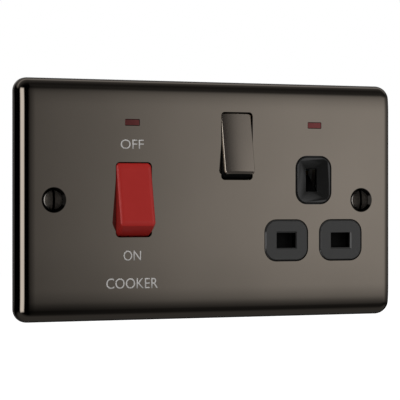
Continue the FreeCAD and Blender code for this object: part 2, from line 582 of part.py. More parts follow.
addPrism(socketHousing, "chamber", "XZ", FLANGE_BACK, "housingRear", socketOutline("0"))
addPrism(socketHousing, "bay_base", "XZ", FLANGE_BACK, "bayFloor",
         rectangle("socketBayX", "socketHousingRight", "socketBayZ", "housingHalfHeight"))
addPrism(socketHousing, "bay_wall", "XZ", "bayFloor", "housingRear",
         rectangle("socketHousingRight - wallThickness", "socketHousingRight", "socketBayZ", "housingHalfHeight"))
cutPrism(socketHousing, "chamber_hollow", "XZ", FLANGE_BACK, "housingRear - wallThickness",
         socketOutline("wallThickness"))
cutPrism(socketHousing, "lamp_hollow", "XZ", FLANGE_BACK, "bayFloor - wallThickness",
         rectangle("socketBayX", "socketHousingRight - wallThickness", "socketBayZ",
                   "housingHalfHeight - wallThickness"))
for index, place in enumerate(SCREWS[2:], 1):
    addPrism(socketHousing, f"screw_boss_{index}", "XZ", FLANGE_BACK, "housingRear",
             centred(*place, "2 * (bossRoom + jointLap)", "2 * (bossRoom + jointLap)"))
cutPrism(socketHousing, "screw_holes", "XZ", FLANGE_BACK, "housingRear",
         circles("screwRadius + runningFit", *SCREWS[2:]))
addPrism(socketHousing, "upper_strap_rib", "XZ", STRAP_BACK, "housingRear - wallThickness / 2",
         rectangle("socketSwitchX + strapAside + (strapWidth - ribThickness) / 2",
                   "socketSwitchX + strapAside + (strapWidth + ribThickness) / 2",
                   "0", "socketBayZ - 2 * wallThickness"))
addPrism(socketHousing, "lower_strap_rib", "XZ", STRAP_BACK, "housingRear - wallThickness / 2",
         rectangle(f"{PIN_X[0]} - lineClipWidth", PIN_X[1], f"{STRAP_RUN} - (strapWidth + ribThickness) / 2",
                   f"{STRAP_RUN} - (strapWidth - ribThickness) / 2"))
for name, (low, high) in LINKS.items():
    cutPrism(socketHousing, f"{name}_link_slot", "XZ", "linkY - slotPlay", "linkY + linkThickness + slotPlay",
             rectangle("socketHousingLeft - wallThickness", "socketHousingLeft + 2 * wallThickness",
                       f"{low} - slotPlay", f"{high} + slotPlay"))
cutPrism(socketHousing, "earth_tail_slot", "XZ", "earthClipBack - clipThickness - slotPlay", "earthClipBack + slotPlay",
         rectangle("socketX - tailWidth / 2 - slotPlay", "socketX + tailWidth / 2 + slotPlay",
                   "socketBayZ - 2 * wallThickness", "socketBayZ + wallThickness"))


def turned(body, x, y, z, angle):
    """Seats a body drawn about its own pivot: moved to the pivot and turned about X, in degrees."""
    body.Placement.Rotation = FreeCAD.Rotation(Vector(1, 0, 0), size(angle))
    for axis, place in zip("xyz", (x, y, z)):
        bind(body, f"Placement.Base.{axis}", place)


def addTrunnions(body, half):
    for side, low, high in (("left", f"-({half}) - trunnionLength", f"-({half})"),
                            ("right", half, f"{half} + trunnionLength")):
        addPrism(body, f"{side}_trunnion", "YZ", low, high, circles("trunnionRadius", ("0", "0")))


def addPlungerTube(body, name, x, wallFront):
    addPrism(body, f"{name}_tube", "XZ", wallFront, "plungerTube", circles("tubeRadius", (x, "0")))
    cutPrism(body, f"{name}_bore", "XZ", "-tubeFloor", "plungerTube",
             circles("plungerRadius + runningFit", (x, "0")))


def endArcs(half):
    """True for the curved edges between a rocker's sides and its round ends."""
    def wanted(edge):
        box = edge.BoundBox
        flat = box.XLength < 1e-4 and abs(abs(box.XMin) - half) < 1e-3
        return flat and type(edge.Curve).__name__ == "Circle" and abs(middle(edge).z) > 5
    return wanted


# Cooker rocker: a round-ended moulding cut flat in front, hollow behind, with two plunger tubes.
COOKER_HALF = "cookerApertureWidth / 2 - rockerGap"
cookerRocker = newBody("cooker_rocker")
addPrism(cookerRocker, "ends", "YZ", f"-({COOKER_HALF})", COOKER_HALF,
         circles("cookerEndRadius", ("0", "0")))
cutPrism(cookerRocker, "face", "YZ", "-cookerApertureWidth", "cookerApertureWidth",
         rectangle("-2 * cookerEndRadius", "-cookerFace", "-2 * cookerEndRadius", "2 * cookerEndRadius"))
cutPrism(cookerRocker, "back", "YZ", "-cookerApertureWidth", "cookerApertureWidth",
         rectangle("rockerBack", "2 * cookerEndRadius", "-2 * cookerEndRadius", "2 * cookerEndRadius"))
addChamfer(cookerRocker, "corners", "rockerCorner", endArcs(size(COOKER_HALF)))
addChamfer(cookerRocker, "face_edge", "rockerBevel", atDepth(-size("cookerFace")))
cutPrism(cookerRocker, "hollow", "XZ", "-cookerFace + rockerWall", "rockerBack",
         rectangle(f"-({COOKER_HALF}) + rockerWall", f"{COOKER_HALF} - rockerWall",
                   "-cookerEndRadius + 2.3 * rockerWall", "cookerEndRadius - 2.3 * rockerWall"))
addTrunnions(cookerRocker, COOKER_HALF)
for name, sign in (("line", -1), ("neutral", 1)):
    addPlungerTube(cookerRocker, name, f"{sign} * plungerOffset", "-cookerFace + rockerWall")
turned(cookerRocker, "cookerX", "pivotY", "cookerPivotZ", "-cookerSwing / 2")

# Socket rocker: the same moulding, narrower, under a metal cap with a gently crowned face.
SOCKET_HALF = "socketApertureWidth / 2 - rockerGap"
CAP_BACK = "-socketFace + capThickness"
socketRocker = newBody("socket_rocker")
addPrism(socketRocker, "ends", "YZ", f"-({SOCKET_HALF})", SOCKET_HALF,
         circles("socketEndRadius", ("0", "0")))
cutPrism(socketRocker, "face", "YZ", "-socketApertureWidth", "socketApertureWidth",
         rectangle("-2 * socketEndRadius", CAP_BACK, "-2 * socketEndRadius", "2 * socketEndRadius"))
cutPrism(socketRocker, "back", "YZ", "-socketApertureWidth", "socketApertureWidth",
         rectangle("rockerBack", "2 * socketEndRadius", "-2 * socketEndRadius", "2 * socketEndRadius"))
addChamfer(socketRocker, "corners", "rockerCorner", endArcs(size(SOCKET_HALF)))
cutPrism(socketRocker, "hollow", "XZ", f"{CAP_BACK} + rockerWall", "rockerBack",
         rectangle(f"-({SOCKET_HALF}) + rockerWall", f"{SOCKET_HALF} - rockerWall",
                   "-socketEndRadius + 2.3 * rockerWall", "socketEndRadius - 2.3 * rockerWall"))
addTrunnions(socketRocker, SOCKET_HALF)
addPlungerTube(socketRocker, "plunger", "0", f"{CAP_BACK} + rockerWall")
turned(socketRocker, "socketSwitchX", "pivotY", "socketPivotZ", "-socketSwing / 2")

cap = newBody("socket_rocker_cap")
addPrism(cap, "blank", "XY", "-socketFaceHalf", "socketFaceHalf",
         crowned(SOCKET_HALF, "-socketFace", "capCrown", CAP_BACK))
addFillet(cap, "corners", "capCorner", upright)
turned(cap, "socketSwitchX", "pivotY", "socketPivotZ", "-socketSwing / 2")

# Each switch pole: a sprung plunger in the rocker presses on a winged arm that rocks on a knife edge.
POLES = [
    ("cooker_line", "cookerX - plungerOffset", "cookerPivotZ", "cookerSwing", "cookerRocker"),
    ("cooker_neutral", "cookerX + plungerOffset", "cookerPivotZ", "cookerSwing", "cookerRocker"),
    ("socket", "socketSwitchX", "socketPivotZ", "socketSwing", "socketRocker"),
]
for pole, x, pivot, swing, rocker in POLES:
    plunger = newBody(f"{pole}_plunger")
    addPrism(plunger, "rod", "XZ", "plungerReach - plungerLength", "plungerReach",
             circles("plungerRadius", ("0", "0")))
    addChamfer(plunger, "tip", "plungerTip", atDepth(size("plungerReach")))
    turned(plunger, x, "pivotY", pivot, f"-{swing} / 2")

    spring = newBody(f"{pole}_spring")
    addPrism(spring, "coil", "XZ", "-tubeFloor", "plungerReach - plungerLength",
             hexagon("springRadius", "0", "0"))
    cutPrism(spring, "core", "XZ", "-tubeFloor", "plungerReach - plungerLength",
             hexagon("springRadius - 2 * springWire", "0", "0"))
    turned(spring, x, "pivotY", pivot, f"-{swing} / 2")

    arm = newBody(f"{pole}_arm")
    sine, cosine = "sin(armWing * 1deg)", "cos(armWing * 1deg)"
    rear = f"-armReach * {sine}"
    reach = f"armReach * {cosine}"
    frontY = f"{rear} - armThickness * {cosine}"
    frontZ = f"{reach} - armThickness * {sine}"
    addPrism(arm, "strip", "YZ", "-armWidth / 2", "armWidth / 2",
             polygon(("0", "0"), (rear, reach), (frontY, frontZ), (f"-armThickness / {cosine}", "0"),
                     (frontY, f"-({frontZ})"), (rear, f"-({reach})")))
    tip = arm.newObject("PartDesign::AdditiveCylinder", f"{pole}_moving_tip")
    bind(tip, "Radius", "contactRadius")
    bind(tip, "Height", "contactThickness")
    tip.Placement.Rotation = FreeCAD.Rotation(Vector(1, 0, 0), size("armWing") - 90)
    bind(tip, "Placement.Base.y", f"-contactReach * {sine}")
    bind(tip, "Placement.Base.z", f"contactReach * {cosine}")
    turned(arm, x, ARM_Y, pivot, "armSwing / 2")

CLOSED = "(armWing - armSwing / 2) * 1deg"
FIXED_TIP = (f"{ARM_Y} - contactReach * sin({CLOSED}) + contactThickness * cos({CLOSED})"
             f" + contactRadius * sin({CLOSED}) + contactLash")
TIP_RISE = f"contactReach * cos({CLOSED}) + contactThickness * sin({CLOSED})"


def addKnifeEdge(body, x, pivot):
    addPrism(body, "knife_edge", "YZ", f"{x} - armWidth / 2", f"{x} + armWidth / 2",
             polygon((f"{ARM_Y} + knifePlay", pivot), (STRAP_FRONT, f"{pivot} + 0.5 * knifeRise"),
                     (STRAP_FRONT, f"{pivot} - 0.5 * knifeRise")))


def addFixedTip(body, x, pivot):
    addPrism(body, "fixed_tip", "XZ", FIXED_TIP, STRAP_FRONT, circles("contactRadius", (x, f"{pivot} + {TIP_RISE}")))


# Cooker terminals: brass blocks in the bays, each with its strap into the chamber.
BORE_Y = "bayFloor + terminalBore + boreSkin"
TURN_NEAR, TURN_FAR = "chamberHalf - strapTurn - strapBand", "chamberHalf - strapTurn"
for side, sign in (("line", -1), ("neutral", 1)):
    def across(offset):
        return f"cookerX + {sign} * ({offset})"

    def between(near, far):
        return (across(far), across(near)) if sign < 0 else (across(near), across(far))

    armNear = "plungerOffset - armWidth / 2"
    armFar = "plungerOffset + armWidth / 2"
    for role, up in (("load", 1), ("supply", -1)):
        block = newBody(f"{side}_{role}_terminal")
        inner = f"{up} * (housingHalfHeight - terminalSetback - terminalLength)"
        outer = f"{up} * (housingHalfHeight - terminalSetback)"
        low, high = (inner, outer) if up > 0 else (outer, inner)
        addPrism(block, "block", "XZ", "bayFloor", "bayFloor + terminalDepth",
                 rectangle(*between("terminalOffset - terminalWidth / 2", "terminalOffset + terminalWidth / 2"),
                           low, high))
        if up > 0:
            strap = polygon((across(armNear), "cookerPivotZ + contactReach - contactRadius - strapEnd"),
                            (across(armFar), "cookerPivotZ + contactReach - contactRadius - strapEnd"),
                            (across(armFar), TURN_NEAR), (across("strapOuter"), TURN_NEAR),
                            (across("strapOuter"), inner), (across("strapInner"), inner),
                            (across("strapInner"), TURN_FAR), (across(armNear), TURN_FAR))
        else:
            strap = polygon((across(armNear), "cookerPivotZ + 0.5 * knifeRise + strapEnd"),
                            (across(armFar), "cookerPivotZ + 0.5 * knifeRise + strapEnd"),
                            (across(armFar), f"-({TURN_NEAR})"), (across("strapOuter"), f"-({TURN_NEAR})"),
                            (across("strapOuter"), inner), (across("strapInner"), inner),
                            (across("strapInner"), f"-({TURN_FAR})"), (across(armNear), f"-({TURN_FAR})"))
        addPrism(block, "strap", "XZ", STRAP_FRONT, STRAP_BACK, strap)
        if up > 0:
            addFixedTip(block, across("plungerOffset"), "cookerPivotZ")
            cutPrism(block, "wire_entry", "XY", f"{inner} + boreStop", outer,
                     circles("terminalBore", (across("terminalOffset"), BORE_Y)))
        else:
            addKnifeEdge(block, across("plungerOffset"), "cookerPivotZ")
            cutPrism(block, "wire_entry", "XY", outer, f"{inner} - boreStop",
                     circles("terminalBore", (across("terminalOffset"), BORE_Y)))
        cutPrism(block, "clamp_hole", "XZ", BORE_Y, "bayFloor + terminalDepth",
                 circles("clampRadius + runningFit", (across("terminalOffset"), f"({inner} + {outer}) / 2")))

# Socket side: the same knife edge and fixed tip on straps that run to the pin clips.
socketStrap = newBody("socket_feed_strap")
armLeft, armRight = "socketSwitchX - armWidth / 2", "socketSwitchX + armWidth / 2"
addPrism(socketStrap, "strap", "XZ", STRAP_FRONT, STRAP_BACK,
         rectangle(armLeft, armRight, LINKS["line"][0], "socketPivotZ + 0.5 * knifeRise + strapEnd"))
addKnifeEdge(socketStrap, "socketSwitchX", "socketPivotZ")

lineStrap = newBody("socket_line_strap")
tipBottom = "socketPivotZ + contactReach - contactRadius - strapEnd"
tipTop = "socketPivotZ + contactReach + contactRadius + 2 * strapEnd"
clipLeft, clipRight = f"{PIN_X[1]} - lineClipWidth / 2", f"{PIN_X[1]} + lineClipWidth / 2"
clipHigh = "pinLineZ + clipGap / 2 + clipThickness"
runLeft, runRight = "socketSwitchX + strapAside", "socketSwitchX + strapAside + strapWidth"
runHigh, runLow = STRAP_RUN, f"{STRAP_RUN} - strapWidth"
addPrism(lineStrap, "strap", "XZ", STRAP_FRONT, STRAP_BACK,
         polygon((armLeft, tipBottom), (runLeft, tipBottom), (runLeft, runLow), (clipRight, runLow),
                 (clipRight, clipHigh), (clipLeft, clipHigh), (clipLeft, runHigh), (runRight, runHigh),
                 (runRight, tipTop), (armLeft, tipTop)))
addFixedTip(lineStrap, "socketSwitchX", "socketPivotZ")


def clipProfile(centre, front, back, swapped):
    """Section of a folded clip: two leaves with a flared mouth, joined by a web at the back."""
    half, skin, flare = "clipGap / 2", "clipThickness", "clipFlare"
    throat = f"{front} + clipMouth"
    inner = [(front, f"{half} + {flare}"), (throat, half), (f"{back} - {skin}", half)]
    outer = [(back, f"{half} + {skin}"), (throat, f"{half} + {skin}"), (front, f"{half} + {flare} + {skin}")]
    below = [(depth, f"-({reach})") for depth, reach in reversed(inner)]
    under = [(depth, f"-({reach})") for depth, reach in reversed(outer)]
    points = inner + below + under + outer
    placed = [(depth, f"{centre} + ({reach})") for depth, reach in points]
    return polygon(*[(reach, depth) if swapped else (depth, reach) for depth, reach in placed])


for name, x in zip(("neutral", "line"), PIN_X):
    clip = newBody(f"{name}_clip")
    addPrism(clip, "leaves", "YZ", f"{x} - lineClipWidth / 2", f"{x} + lineClipWidth / 2",
             clipProfile("pinLineZ", "clipFront", STRAP_FRONT, False))
earthClip = newBody("earth_clip")
addPrism(earthClip, "leaves", "XY", f"{EARTH_Z} - earthClipWidth / 2", f"{EARTH_Z} + earthClipWidth / 2",
         clipProfile("socketX", "earthClipFront", "earthClipBack", True))
EARTH_LOW = "housingHalfHeight - terminalSetback - terminalLength"
EARTH_HIGH = "housingHalfHeight - terminalSetback"
addPrism(earthClip, "tail", "XZ", "earthClipBack - clipThickness", "earthClipBack",
         rectangle("socketX - tailWidth / 2", "socketX + tailWidth / 2", EARTH_Z, EARTH_LOW))

earthBlock = newBody("earth_terminal")
addPrism(earthBlock, "block", "XZ", "bayFloor", "bayFloor + terminalDepth",
         rectangle("earthBlockX - earthBlockWidth / 2", "earthBlockX + earthBlockWidth / 2",
                   EARTH_LOW, EARTH_HIGH))
EARTH_X = ("earthBlockX - earthBoreSpacing / 2", "earthBlockX + earthBoreSpacing / 2")
for name, x in zip(("left", "right"), EARTH_X):
    cutPrism(earthBlock, f"{name}_wire_entry", "XY", f"{EARTH_LOW} + boreStop", EARTH_HIGH,
             circles("terminalBore", (x, BORE_Y)))
    cutPrism(earthBlock, f"{name}_clamp_hole", "XZ", BORE_Y, "bayFloor + terminalDepth",
             circles("clampRadius + runningFit", (x, f"({EARTH_LOW} + {EARTH_HIGH}) / 2")))

# Copper links carry line and neutral from the cooker switch across to the socket.
LINK_ENDS = {
    "line": ("cookerX - plungerOffset - armWidth / 2", armRight, STRAP_BACK, STRAP_BACK),
    "neutral": ("cookerX + (strapInner + strapOuter) / 2 - linkThickness", f"{PIN_X[0]} + lineClipWidth / 2", STRAP_BACK, STRAP_FRONT),
}
for name, (left, right, leftSeat, rightSeat) in LINK_ENDS.items():
    link = newBody(f"{name}_link")
    addPrism(link, "strip", "XY", *LINKS[name],
             polygon((left, leftSeat), (f"{left} + linkThickness", leftSeat), (f"{left} + linkThickness", "linkY"),
                     (f"{right} - linkThickness", "linkY"), (f"{right} - linkThickness", rightSeat),
                     (right, rightSeat), (right, "linkY + linkThickness"), (left, "linkY + linkThickness")))

# Shutter: one slide behind the flange covers both live holes until the earth pin drives its ramp down.
SHUTTER_FRONT = f"{FLANGE_BACK} + shutterGap"
SHUTTER_BACK = f"{SHUTTER_FRONT} + shutterThickness"
BAR_LOW, BAR_HIGH = "pinLineZ - shutterHeight / 2", "pinLineZ + shutterHeight / 2"
RAMP_LOW = f"{EARTH_Z} - earthHoleHeight / 2"
shutter = newBody("shutter")
addPrism(shutter, "bar", "XZ", SHUTTER_FRONT, SHUTTER_BACK,
         rectangle(f"{PIN_X[0]} - pinHoleWidth / 2 - shutterLap", f"{PIN_X[1]} + pinHoleWidth / 2 + shutterLap",
                   BAR_LOW, BAR_HIGH))
addPrism(shutter, "stem", "XZ", SHUTTER_FRONT, SHUTTER_BACK,
         rectangle("socketX - stemWidth / 2", "socketX + stemWidth / 2", BAR_HIGH, RAMP_LOW))
addPrism(shutter, "ramp", "YZ", "socketX - stemWidth / 2", "socketX + stemWidth / 2",
         polygon((SHUTTER_FRONT, RAMP_LOW), (f"{SHUTTER_FRONT} + wedgeDepth", f"{RAMP_LOW} + shutterTravel - shutterGap"),
                 (f"{SHUTTER_FRONT} + wedgeDepth", f"{RAMP_LOW} - wedgeFoot"),
                 (SHUTTER_BACK, f"{RAMP_LOW} - 2 * wedgeFoot"), (SHUTTER_FRONT, f"{RAMP_LOW} - 2 * wedgeFoot")))
shutterSpring = newBody("shutter_spring")
SPRING_Y = f"{SHUTTER_FRONT} + shutterThickness / 2"
addPrism(shutterSpring, "coil", "XY", "-housingHalfHeight + wallThickness", BAR_LOW,
         hexagon("shutterSpringRadius", "socketX", SPRING_Y))
cutPrism(shutterSpring, "core", "XY", "-housingHalfHeight + wallThickness", BAR_LOW,
         hexagon("shutterSpringRadius - 2 * springWire", "socketX", SPRING_Y))

# Neon indicators: a lens with a collar behind the sheet, a glass lamp on its back and a resistor.
LENS_BACK = f"{FLANGE_BACK} + lensTail"
LAMP_Y = f"{LENS_BACK} + lampGap + lampRadius"
SHELF = "bayFloor - wallThickness"
for name, x in (("cooker", "cookerNeonX"), ("socket", "socketNeonX")):
    lens = newBody(f"{name}_neon_lens")
    addPrism(lens, "window", "XZ", f"{FACE} + runningFit", LENS_BACK,
             centred(x, "neonZ", "neonWidth - 2 * neonFit", "neonHeight - 2 * neonFit"))
    addPrism(lens, "collar", "XZ", SHEET_BACK, f"{SHEET_BACK} + lensFlange",
             centred(x, "neonZ", "neonWidth + 2 * lensFlange", "neonHeight + 2 * lensFlange"))
    lamp = newBody(f"{name}_neon_lamp")
    addPrism(lamp, "tube", "YZ", f"{x} - lampLength / 2", f"{x} + lampLength / 2",
             circles("lampRadius", (LAMP_Y, "neonZ")))
    resistor = newBody(f"{name}_neon_resistor")
    addPrism(resistor, "barrel", "YZ", f"{x} - resistorLength / 2", f"{x} + resistorLength / 2",
             circles("resistorRadius", (f"{SHELF} - resistorRadius", "neonZ")))
document.recompute()


def placed(kind, name, **values):
    feature = document.addObject(kind, name)
    for key, value in values.items():
        bind(feature, key, value)
    return feature


def aimed(feature, x, y, z, angle):
    feature.Placement.Rotation = FreeCAD.Rotation(Vector(1, 0, 0), angle)
    for axis, place in zip("xyz", (x, y, z)):
        bind(feature, f"Placement.Base.{axis}", place)
    return feature


def fused(name, *shapes):
    feature = document.addObject("Part::MultiFuse", name)
    feature.Shapes = list(shapes)
    return feature


def without(name, base, tool):
    feature = document.addObject("Part::Cut", name)
    feature.Base = base
    feature.Tool = tool
    return feature


def group(label, members):
    feature = document.addObject("Part::Compound", label)
    feature.Links = members
    feature.Label = label
    return feature


def slotBox(name, x, y, z, width, length, depth):
    feature = placed("Part::Box", name, Length=width, Width=depth, Height=length)
    return aimed(feature, f"{x} - ({width}) / 2", y, f"{z} - ({length}) / 2", 0)


# Fasteners. Each kind is one node of equal solids.
HEAD_RIM = f"{FACE} + countersinkRadius - fixingHeadRadius"
fixings = []
for name, x in zip(("left", "right"), FIXING_X):
    cone = aimed(placed("Part::Cone", f"{name}_fixing_cone", Radius1="fixingHeadRadius",
                        Radius2="fixingShankRadius", Height="fixingHeadRadius - fixingShankRadius"),
                 x, HEAD_RIM, "0", -90)
    shank = aimed(placed("Part::Cylinder", f"{name}_fixing_shank", Radius="fixingShankRadius",
                         Height="fixingLength"), x, HEAD_RIM, "0", -90)
    dome = aimed(placed("Part::Cone", f"{name}_fixing_dome", Radius1="0.45 * fixingHeadRadius",
                        Radius2="fixingHeadRadius", Height="fixingHeadRise"),
                 x, f"{HEAD_RIM} - fixingHeadRise", "0", -90)
    slot = slotBox(f"{name}_fixing_slot", x, f"{HEAD_RIM} - fixingHeadRise - slotDepth", "0", "slotWidth",
                   "3 * fixingHeadRadius", "2 * slotDepth")
    fixings.append(without(f"{name}_fixing_screw", fused(f"{name}_fixing_solid", cone, shank, dome), slot))
group("fixing_screws", fixings)

CLAMPS = [(f"cookerX + {sign} * terminalOffset", f"{up} * (housingHalfHeight - terminalSetback - terminalLength / 2)")
          for sign in (-1, 1) for up in (-1, 1)]
CLAMPS += [(x, f"({EARTH_LOW} + {EARTH_HIGH}) / 2") for x in EARTH_X]
CLAMP_TIP = f"{BORE_Y} + terminalBore + 2 * runningFit"
CLAMP_END = "bayFloor + terminalDepth + clampRise"
clamps = []
for index, (x, z) in enumerate(CLAMPS, 1):
    shank = aimed(placed("Part::Cylinder", f"clamp_shank_{index}", Radius="clampRadius",
                         Height=f"{CLAMP_END} - ({CLAMP_TIP})"), x, CLAMP_TIP, z, -90)
    slot = slotBox(f"clamp_slot_{index}", x, f"{CLAMP_END} - slotDepth", z, "slotWidth",
                   "3 * clampRadius", "2 * slotDepth")
    clamps.append(without(f"clamp_{index}", shank, slot))
group("terminal_screws", clamps)

bolts = []
for index, (x, z) in enumerate(SCREWS, 1):
    shank = aimed(placed("Part::Cylinder", f"bolt_shank_{index}", Radius="screwRadius",
                         Height=f"housingRear - ({SHEET_BACK}) - screwSetback"), x, f"{SHEET_BACK} + screwSetback", z, -90)
    head = aimed(placed("Part::Cylinder", f"bolt_head_{index}", Radius="screwHeadRadius",
                        Height="screwHeadHeight"), x, "housingRear", z, -90)
    bolts.append(fused(f"bolt_{index}", shank, head))
group("assembly_screws", bolts)

document.recompute()
NODES = [item for item in document.Objects if item.isDerivedFrom("PartDesign::Body")]
NODES += [item for item in document.Objects if item.isDerivedFrom("Part::Compound")]
faults = [item.Name for item in document.Objects if {"Invalid", "Error"} & set(item.State)]
faults += [item.Label for item in NODES if item.Shape.isNull() or not item.Shape.isValid()]
if faults:
    raise RuntimeError(f"failed features: {faults}")
os.makedirs("parts", exist_ok=True)
for item in NODES:
    item.Shape.exportStep(f"parts/{item.Label}.step")
    print(item.Label, len(item.Shape.Solids), round(item.Shape.Volume, 1))
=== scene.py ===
# Cooker control unit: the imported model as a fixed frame, dressed in its finishes,
# with the words, threads and soft edges that are too fine for its solids.
# Named lengths are in millimetres and angles in degrees. The studio's are in metres.
import json
import math

import bpy
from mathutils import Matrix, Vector


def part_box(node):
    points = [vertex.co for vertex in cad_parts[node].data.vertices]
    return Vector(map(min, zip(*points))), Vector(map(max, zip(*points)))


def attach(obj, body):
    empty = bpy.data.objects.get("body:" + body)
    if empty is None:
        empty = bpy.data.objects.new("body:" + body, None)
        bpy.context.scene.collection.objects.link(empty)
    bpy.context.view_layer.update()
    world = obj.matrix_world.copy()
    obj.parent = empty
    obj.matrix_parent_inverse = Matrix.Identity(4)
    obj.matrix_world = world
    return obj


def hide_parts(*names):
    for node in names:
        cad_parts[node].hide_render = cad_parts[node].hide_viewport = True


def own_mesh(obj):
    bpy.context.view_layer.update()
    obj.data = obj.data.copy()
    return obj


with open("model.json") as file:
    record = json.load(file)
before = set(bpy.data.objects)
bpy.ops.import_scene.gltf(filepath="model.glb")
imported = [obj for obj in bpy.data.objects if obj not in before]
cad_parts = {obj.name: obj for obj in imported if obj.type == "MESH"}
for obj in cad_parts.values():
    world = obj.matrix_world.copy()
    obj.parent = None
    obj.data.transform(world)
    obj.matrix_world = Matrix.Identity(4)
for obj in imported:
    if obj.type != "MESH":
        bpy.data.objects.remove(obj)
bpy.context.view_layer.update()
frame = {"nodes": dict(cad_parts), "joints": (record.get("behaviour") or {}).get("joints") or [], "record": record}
nodes = frame["nodes"]
slots = {entry["node"]: entry["material_slot"] for entry in frame["record"]["subparts"]}
mm = 0.001
print("frame loaded,", len(nodes), "nodes")

# What several pieces share
screwX = 60.3  # each fixing screw, from the middle of the plate
leans = {"cooker_rocker": -12.5, "socket_rocker": -11}  # each rocker's turn about X at rest
socketPivot = (9.55, -0.9, 19.6)
overrun = 1  # how far the tool that cuts a screw's slot or recess reaches past the head


# Selecting, placing and modelling

def only(piece):
    bpy.ops.object.select_all(action="DESELECT")
    piece.select_set(True)
    bpy.context.view_layer.objects.active = piece
    return piece


def named(name):
    piece = bpy.context.object
    piece.name = name
    piece.data.name = name
    return only(piece)


def settled(piece):  # its place, turn and size go into the mesh
    only(piece)
    bpy.ops.object.transform_apply(location=True, rotation=True, scale=True)
    return piece


def moved(piece, x=0, y=0, z=0):
    piece.location = Vector((x, y, z)) * mm
    return settled(piece)


def leaning(angle):  # the Y direction, turned about X
    return Vector((0, math.cos(math.radians(angle)), math.sin(math.radians(angle))))


def modified(piece, kind, **values):
    only(piece)
    bpy.ops.object.modifier_add(type=kind)
    change = piece.modifiers[-1]
    for key, value in values.items():
        setattr(change, key, value)
    bpy.ops.object.modifier_apply(modifier=change.name)
    return piece


def brokenEdges(piece, width, segments, angle, **values):  # a small bevel on every edge sharper than angle
    return modified(piece, "BEVEL", width=width * mm, segments=segments, limit_method="ANGLE",
                    angle_limit=math.radians(angle), **values)


def smoothed(piece, angle=32):
    only(piece)
    bpy.ops.object.shade_smooth_by_angle(angle=math.radians(angle), keep_sharp_edges=True)
    return modified(piece, "WEIGHTED_NORMAL", mode="FACE_AREA", weight=50, keep_sharp=True)


def editing(piece, kind, action="SELECT"):
    only(piece)
    bpy.ops.object.mode_set(mode="EDIT")
    bpy.ops.mesh.select_mode(type=kind)
    bpy.ops.mesh.select_all(action=action)


def done():
    bpy.ops.object.mode_set(mode="OBJECT")


def pickEdges(piece, wanted):  # wanted gets an edge's middle, in millimetres, and its direction
    editing(piece, "EDGE", "DESELECT")
    done()
    points = [vertex.co / mm for vertex in piece.data.vertices]
    for edge in piece.data.edges:
        first, last = (points[index] for index in edge.vertices)
        edge.select = wanted((first + last) / 2, (last - first).normalized())
    bpy.ops.object.mode_set(mode="EDIT")


def pickFaces(piece, wanted):  # wanted gets a face's normal
    editing(piece, "FACE", "DESELECT")
    done()
    for face in piece.data.polygons:
        face.select = wanted(face.normal)
    bpy.ops.object.mode_set(mode="EDIT")


def inPlane(middle, way, y, within=0.01):  # whether an edge lies in the plane at this depth
    return abs(middle.y - y) < within and abs(way.y) < 0.1


def roundFront(piece, y, radius, segments):
    pickEdges(piece, lambda middle, way: inPlane(middle, way, y))
    bpy.ops.mesh.bevel(offset=radius * mm, segments=segments, affect="EDGES")
    done()


def cutFront(piece, way, reach):  # a line of new edges across every face that looks forward
    pickFaces(piece, lambda normal: normal.y < -0.001)
    bpy.ops.mesh.bisect(plane_co=way * reach * mm, plane_no=way)
    done()


def block(name, low, high, corner=0, segments=8):  # corner rounds its edges along Y
    bpy.ops.mesh.primitive_cube_add(size=1)
    piece = named(name)
    low, high = Vector(low) * mm, Vector(high) * mm
    piece.location = (low + high) / 2
    piece.scale = high - low
    settled(piece)
    if corner:
        pickEdges(piece, lambda middle, way: abs(way.y) > 0.9)
        bpy.ops.mesh.bevel(offset=corner * mm, segments=segments, affect="EDGES")
        done()
    return piece


def cone(name, x, y, near, far, depth):  # near is its radius at y, and far at y + depth
    bpy.ops.mesh.primitive_cone_add(vertices=64, radius1=far * mm, radius2=near * mm, depth=depth * mm,
                                    rotation=(math.pi / 2, 0, 0))
    return moved(named(name), x=x, y=y + depth / 2)


def joined(name, pieces):
    only(pieces[0])
    for piece in pieces:
        piece.select_set(True)
    bpy.ops.object.join()
    return named(name)


def carved(piece, tool, operation="DIFFERENCE"):
    modified(piece, "BOOLEAN", object=tool, operation=operation, solver="EXACT")
    bpy.data.objects.remove(tool)
    return piece


def copied(piece, name):
    only(piece)
    bpy.ops.object.duplicate()
    return named(name)


def turned(name, profile, steps):  # a line of (radius, depth) points spun about Y
    bpy.ops.mesh.primitive_plane_add(size=mm)
    piece = named(name)
    editing(piece, "VERT")
    bpy.ops.mesh.merge(type="CENTER")
    spot = Vector((0, 0, 0))
    for index, (radius, depth) in enumerate(profile):
        step = Vector((radius, depth, 0)) * mm - spot
        if index:
            bpy.ops.mesh.extrude_vertices_move(TRANSFORM_OT_translate={"value": step})
        else:
            bpy.ops.transform.translate(value=step)
        spot += step
    bpy.ops.mesh.select_all(action="SELECT")
    bpy.ops.mesh.spin(steps=steps, angle=2 * math.pi, center=(0, 0, 0), axis=(0, 1, 0))
    bpy.ops.mesh.select_all(action="SELECT")
    bpy.ops.mesh.remove_doubles(threshold=0.001 * mm)
    bpy.ops.mesh.normals_make_consistent(inside=False)
    done()
    return piece


def helix(name, sides, wire, radius, pitch, turns, steps):  # a wire wound round and along Z
    bpy.ops.mesh.primitive_circle_add(vertices=sides, radius=wire * mm, rotation=(math.pi / 2, 0, 0))
    piece = moved(named(name), x=radius)
    modified(piece, "SCREW", axis="Z", angle=2 * math.pi, screw_offset=pitch * mm, iterations=turns,
             steps=steps, render_steps=steps, use_merge_vertices=True)
    editing(piece, "EDGE", "DESELECT")
    bpy.ops.mesh.select_non_manifold()
    bpy.ops.mesh.edge_face_add()
    bpy.ops.mesh.select_all(action="SELECT")
    bpy.ops.mesh.normals_make_consistent(inside=False)
    done()
    return piece


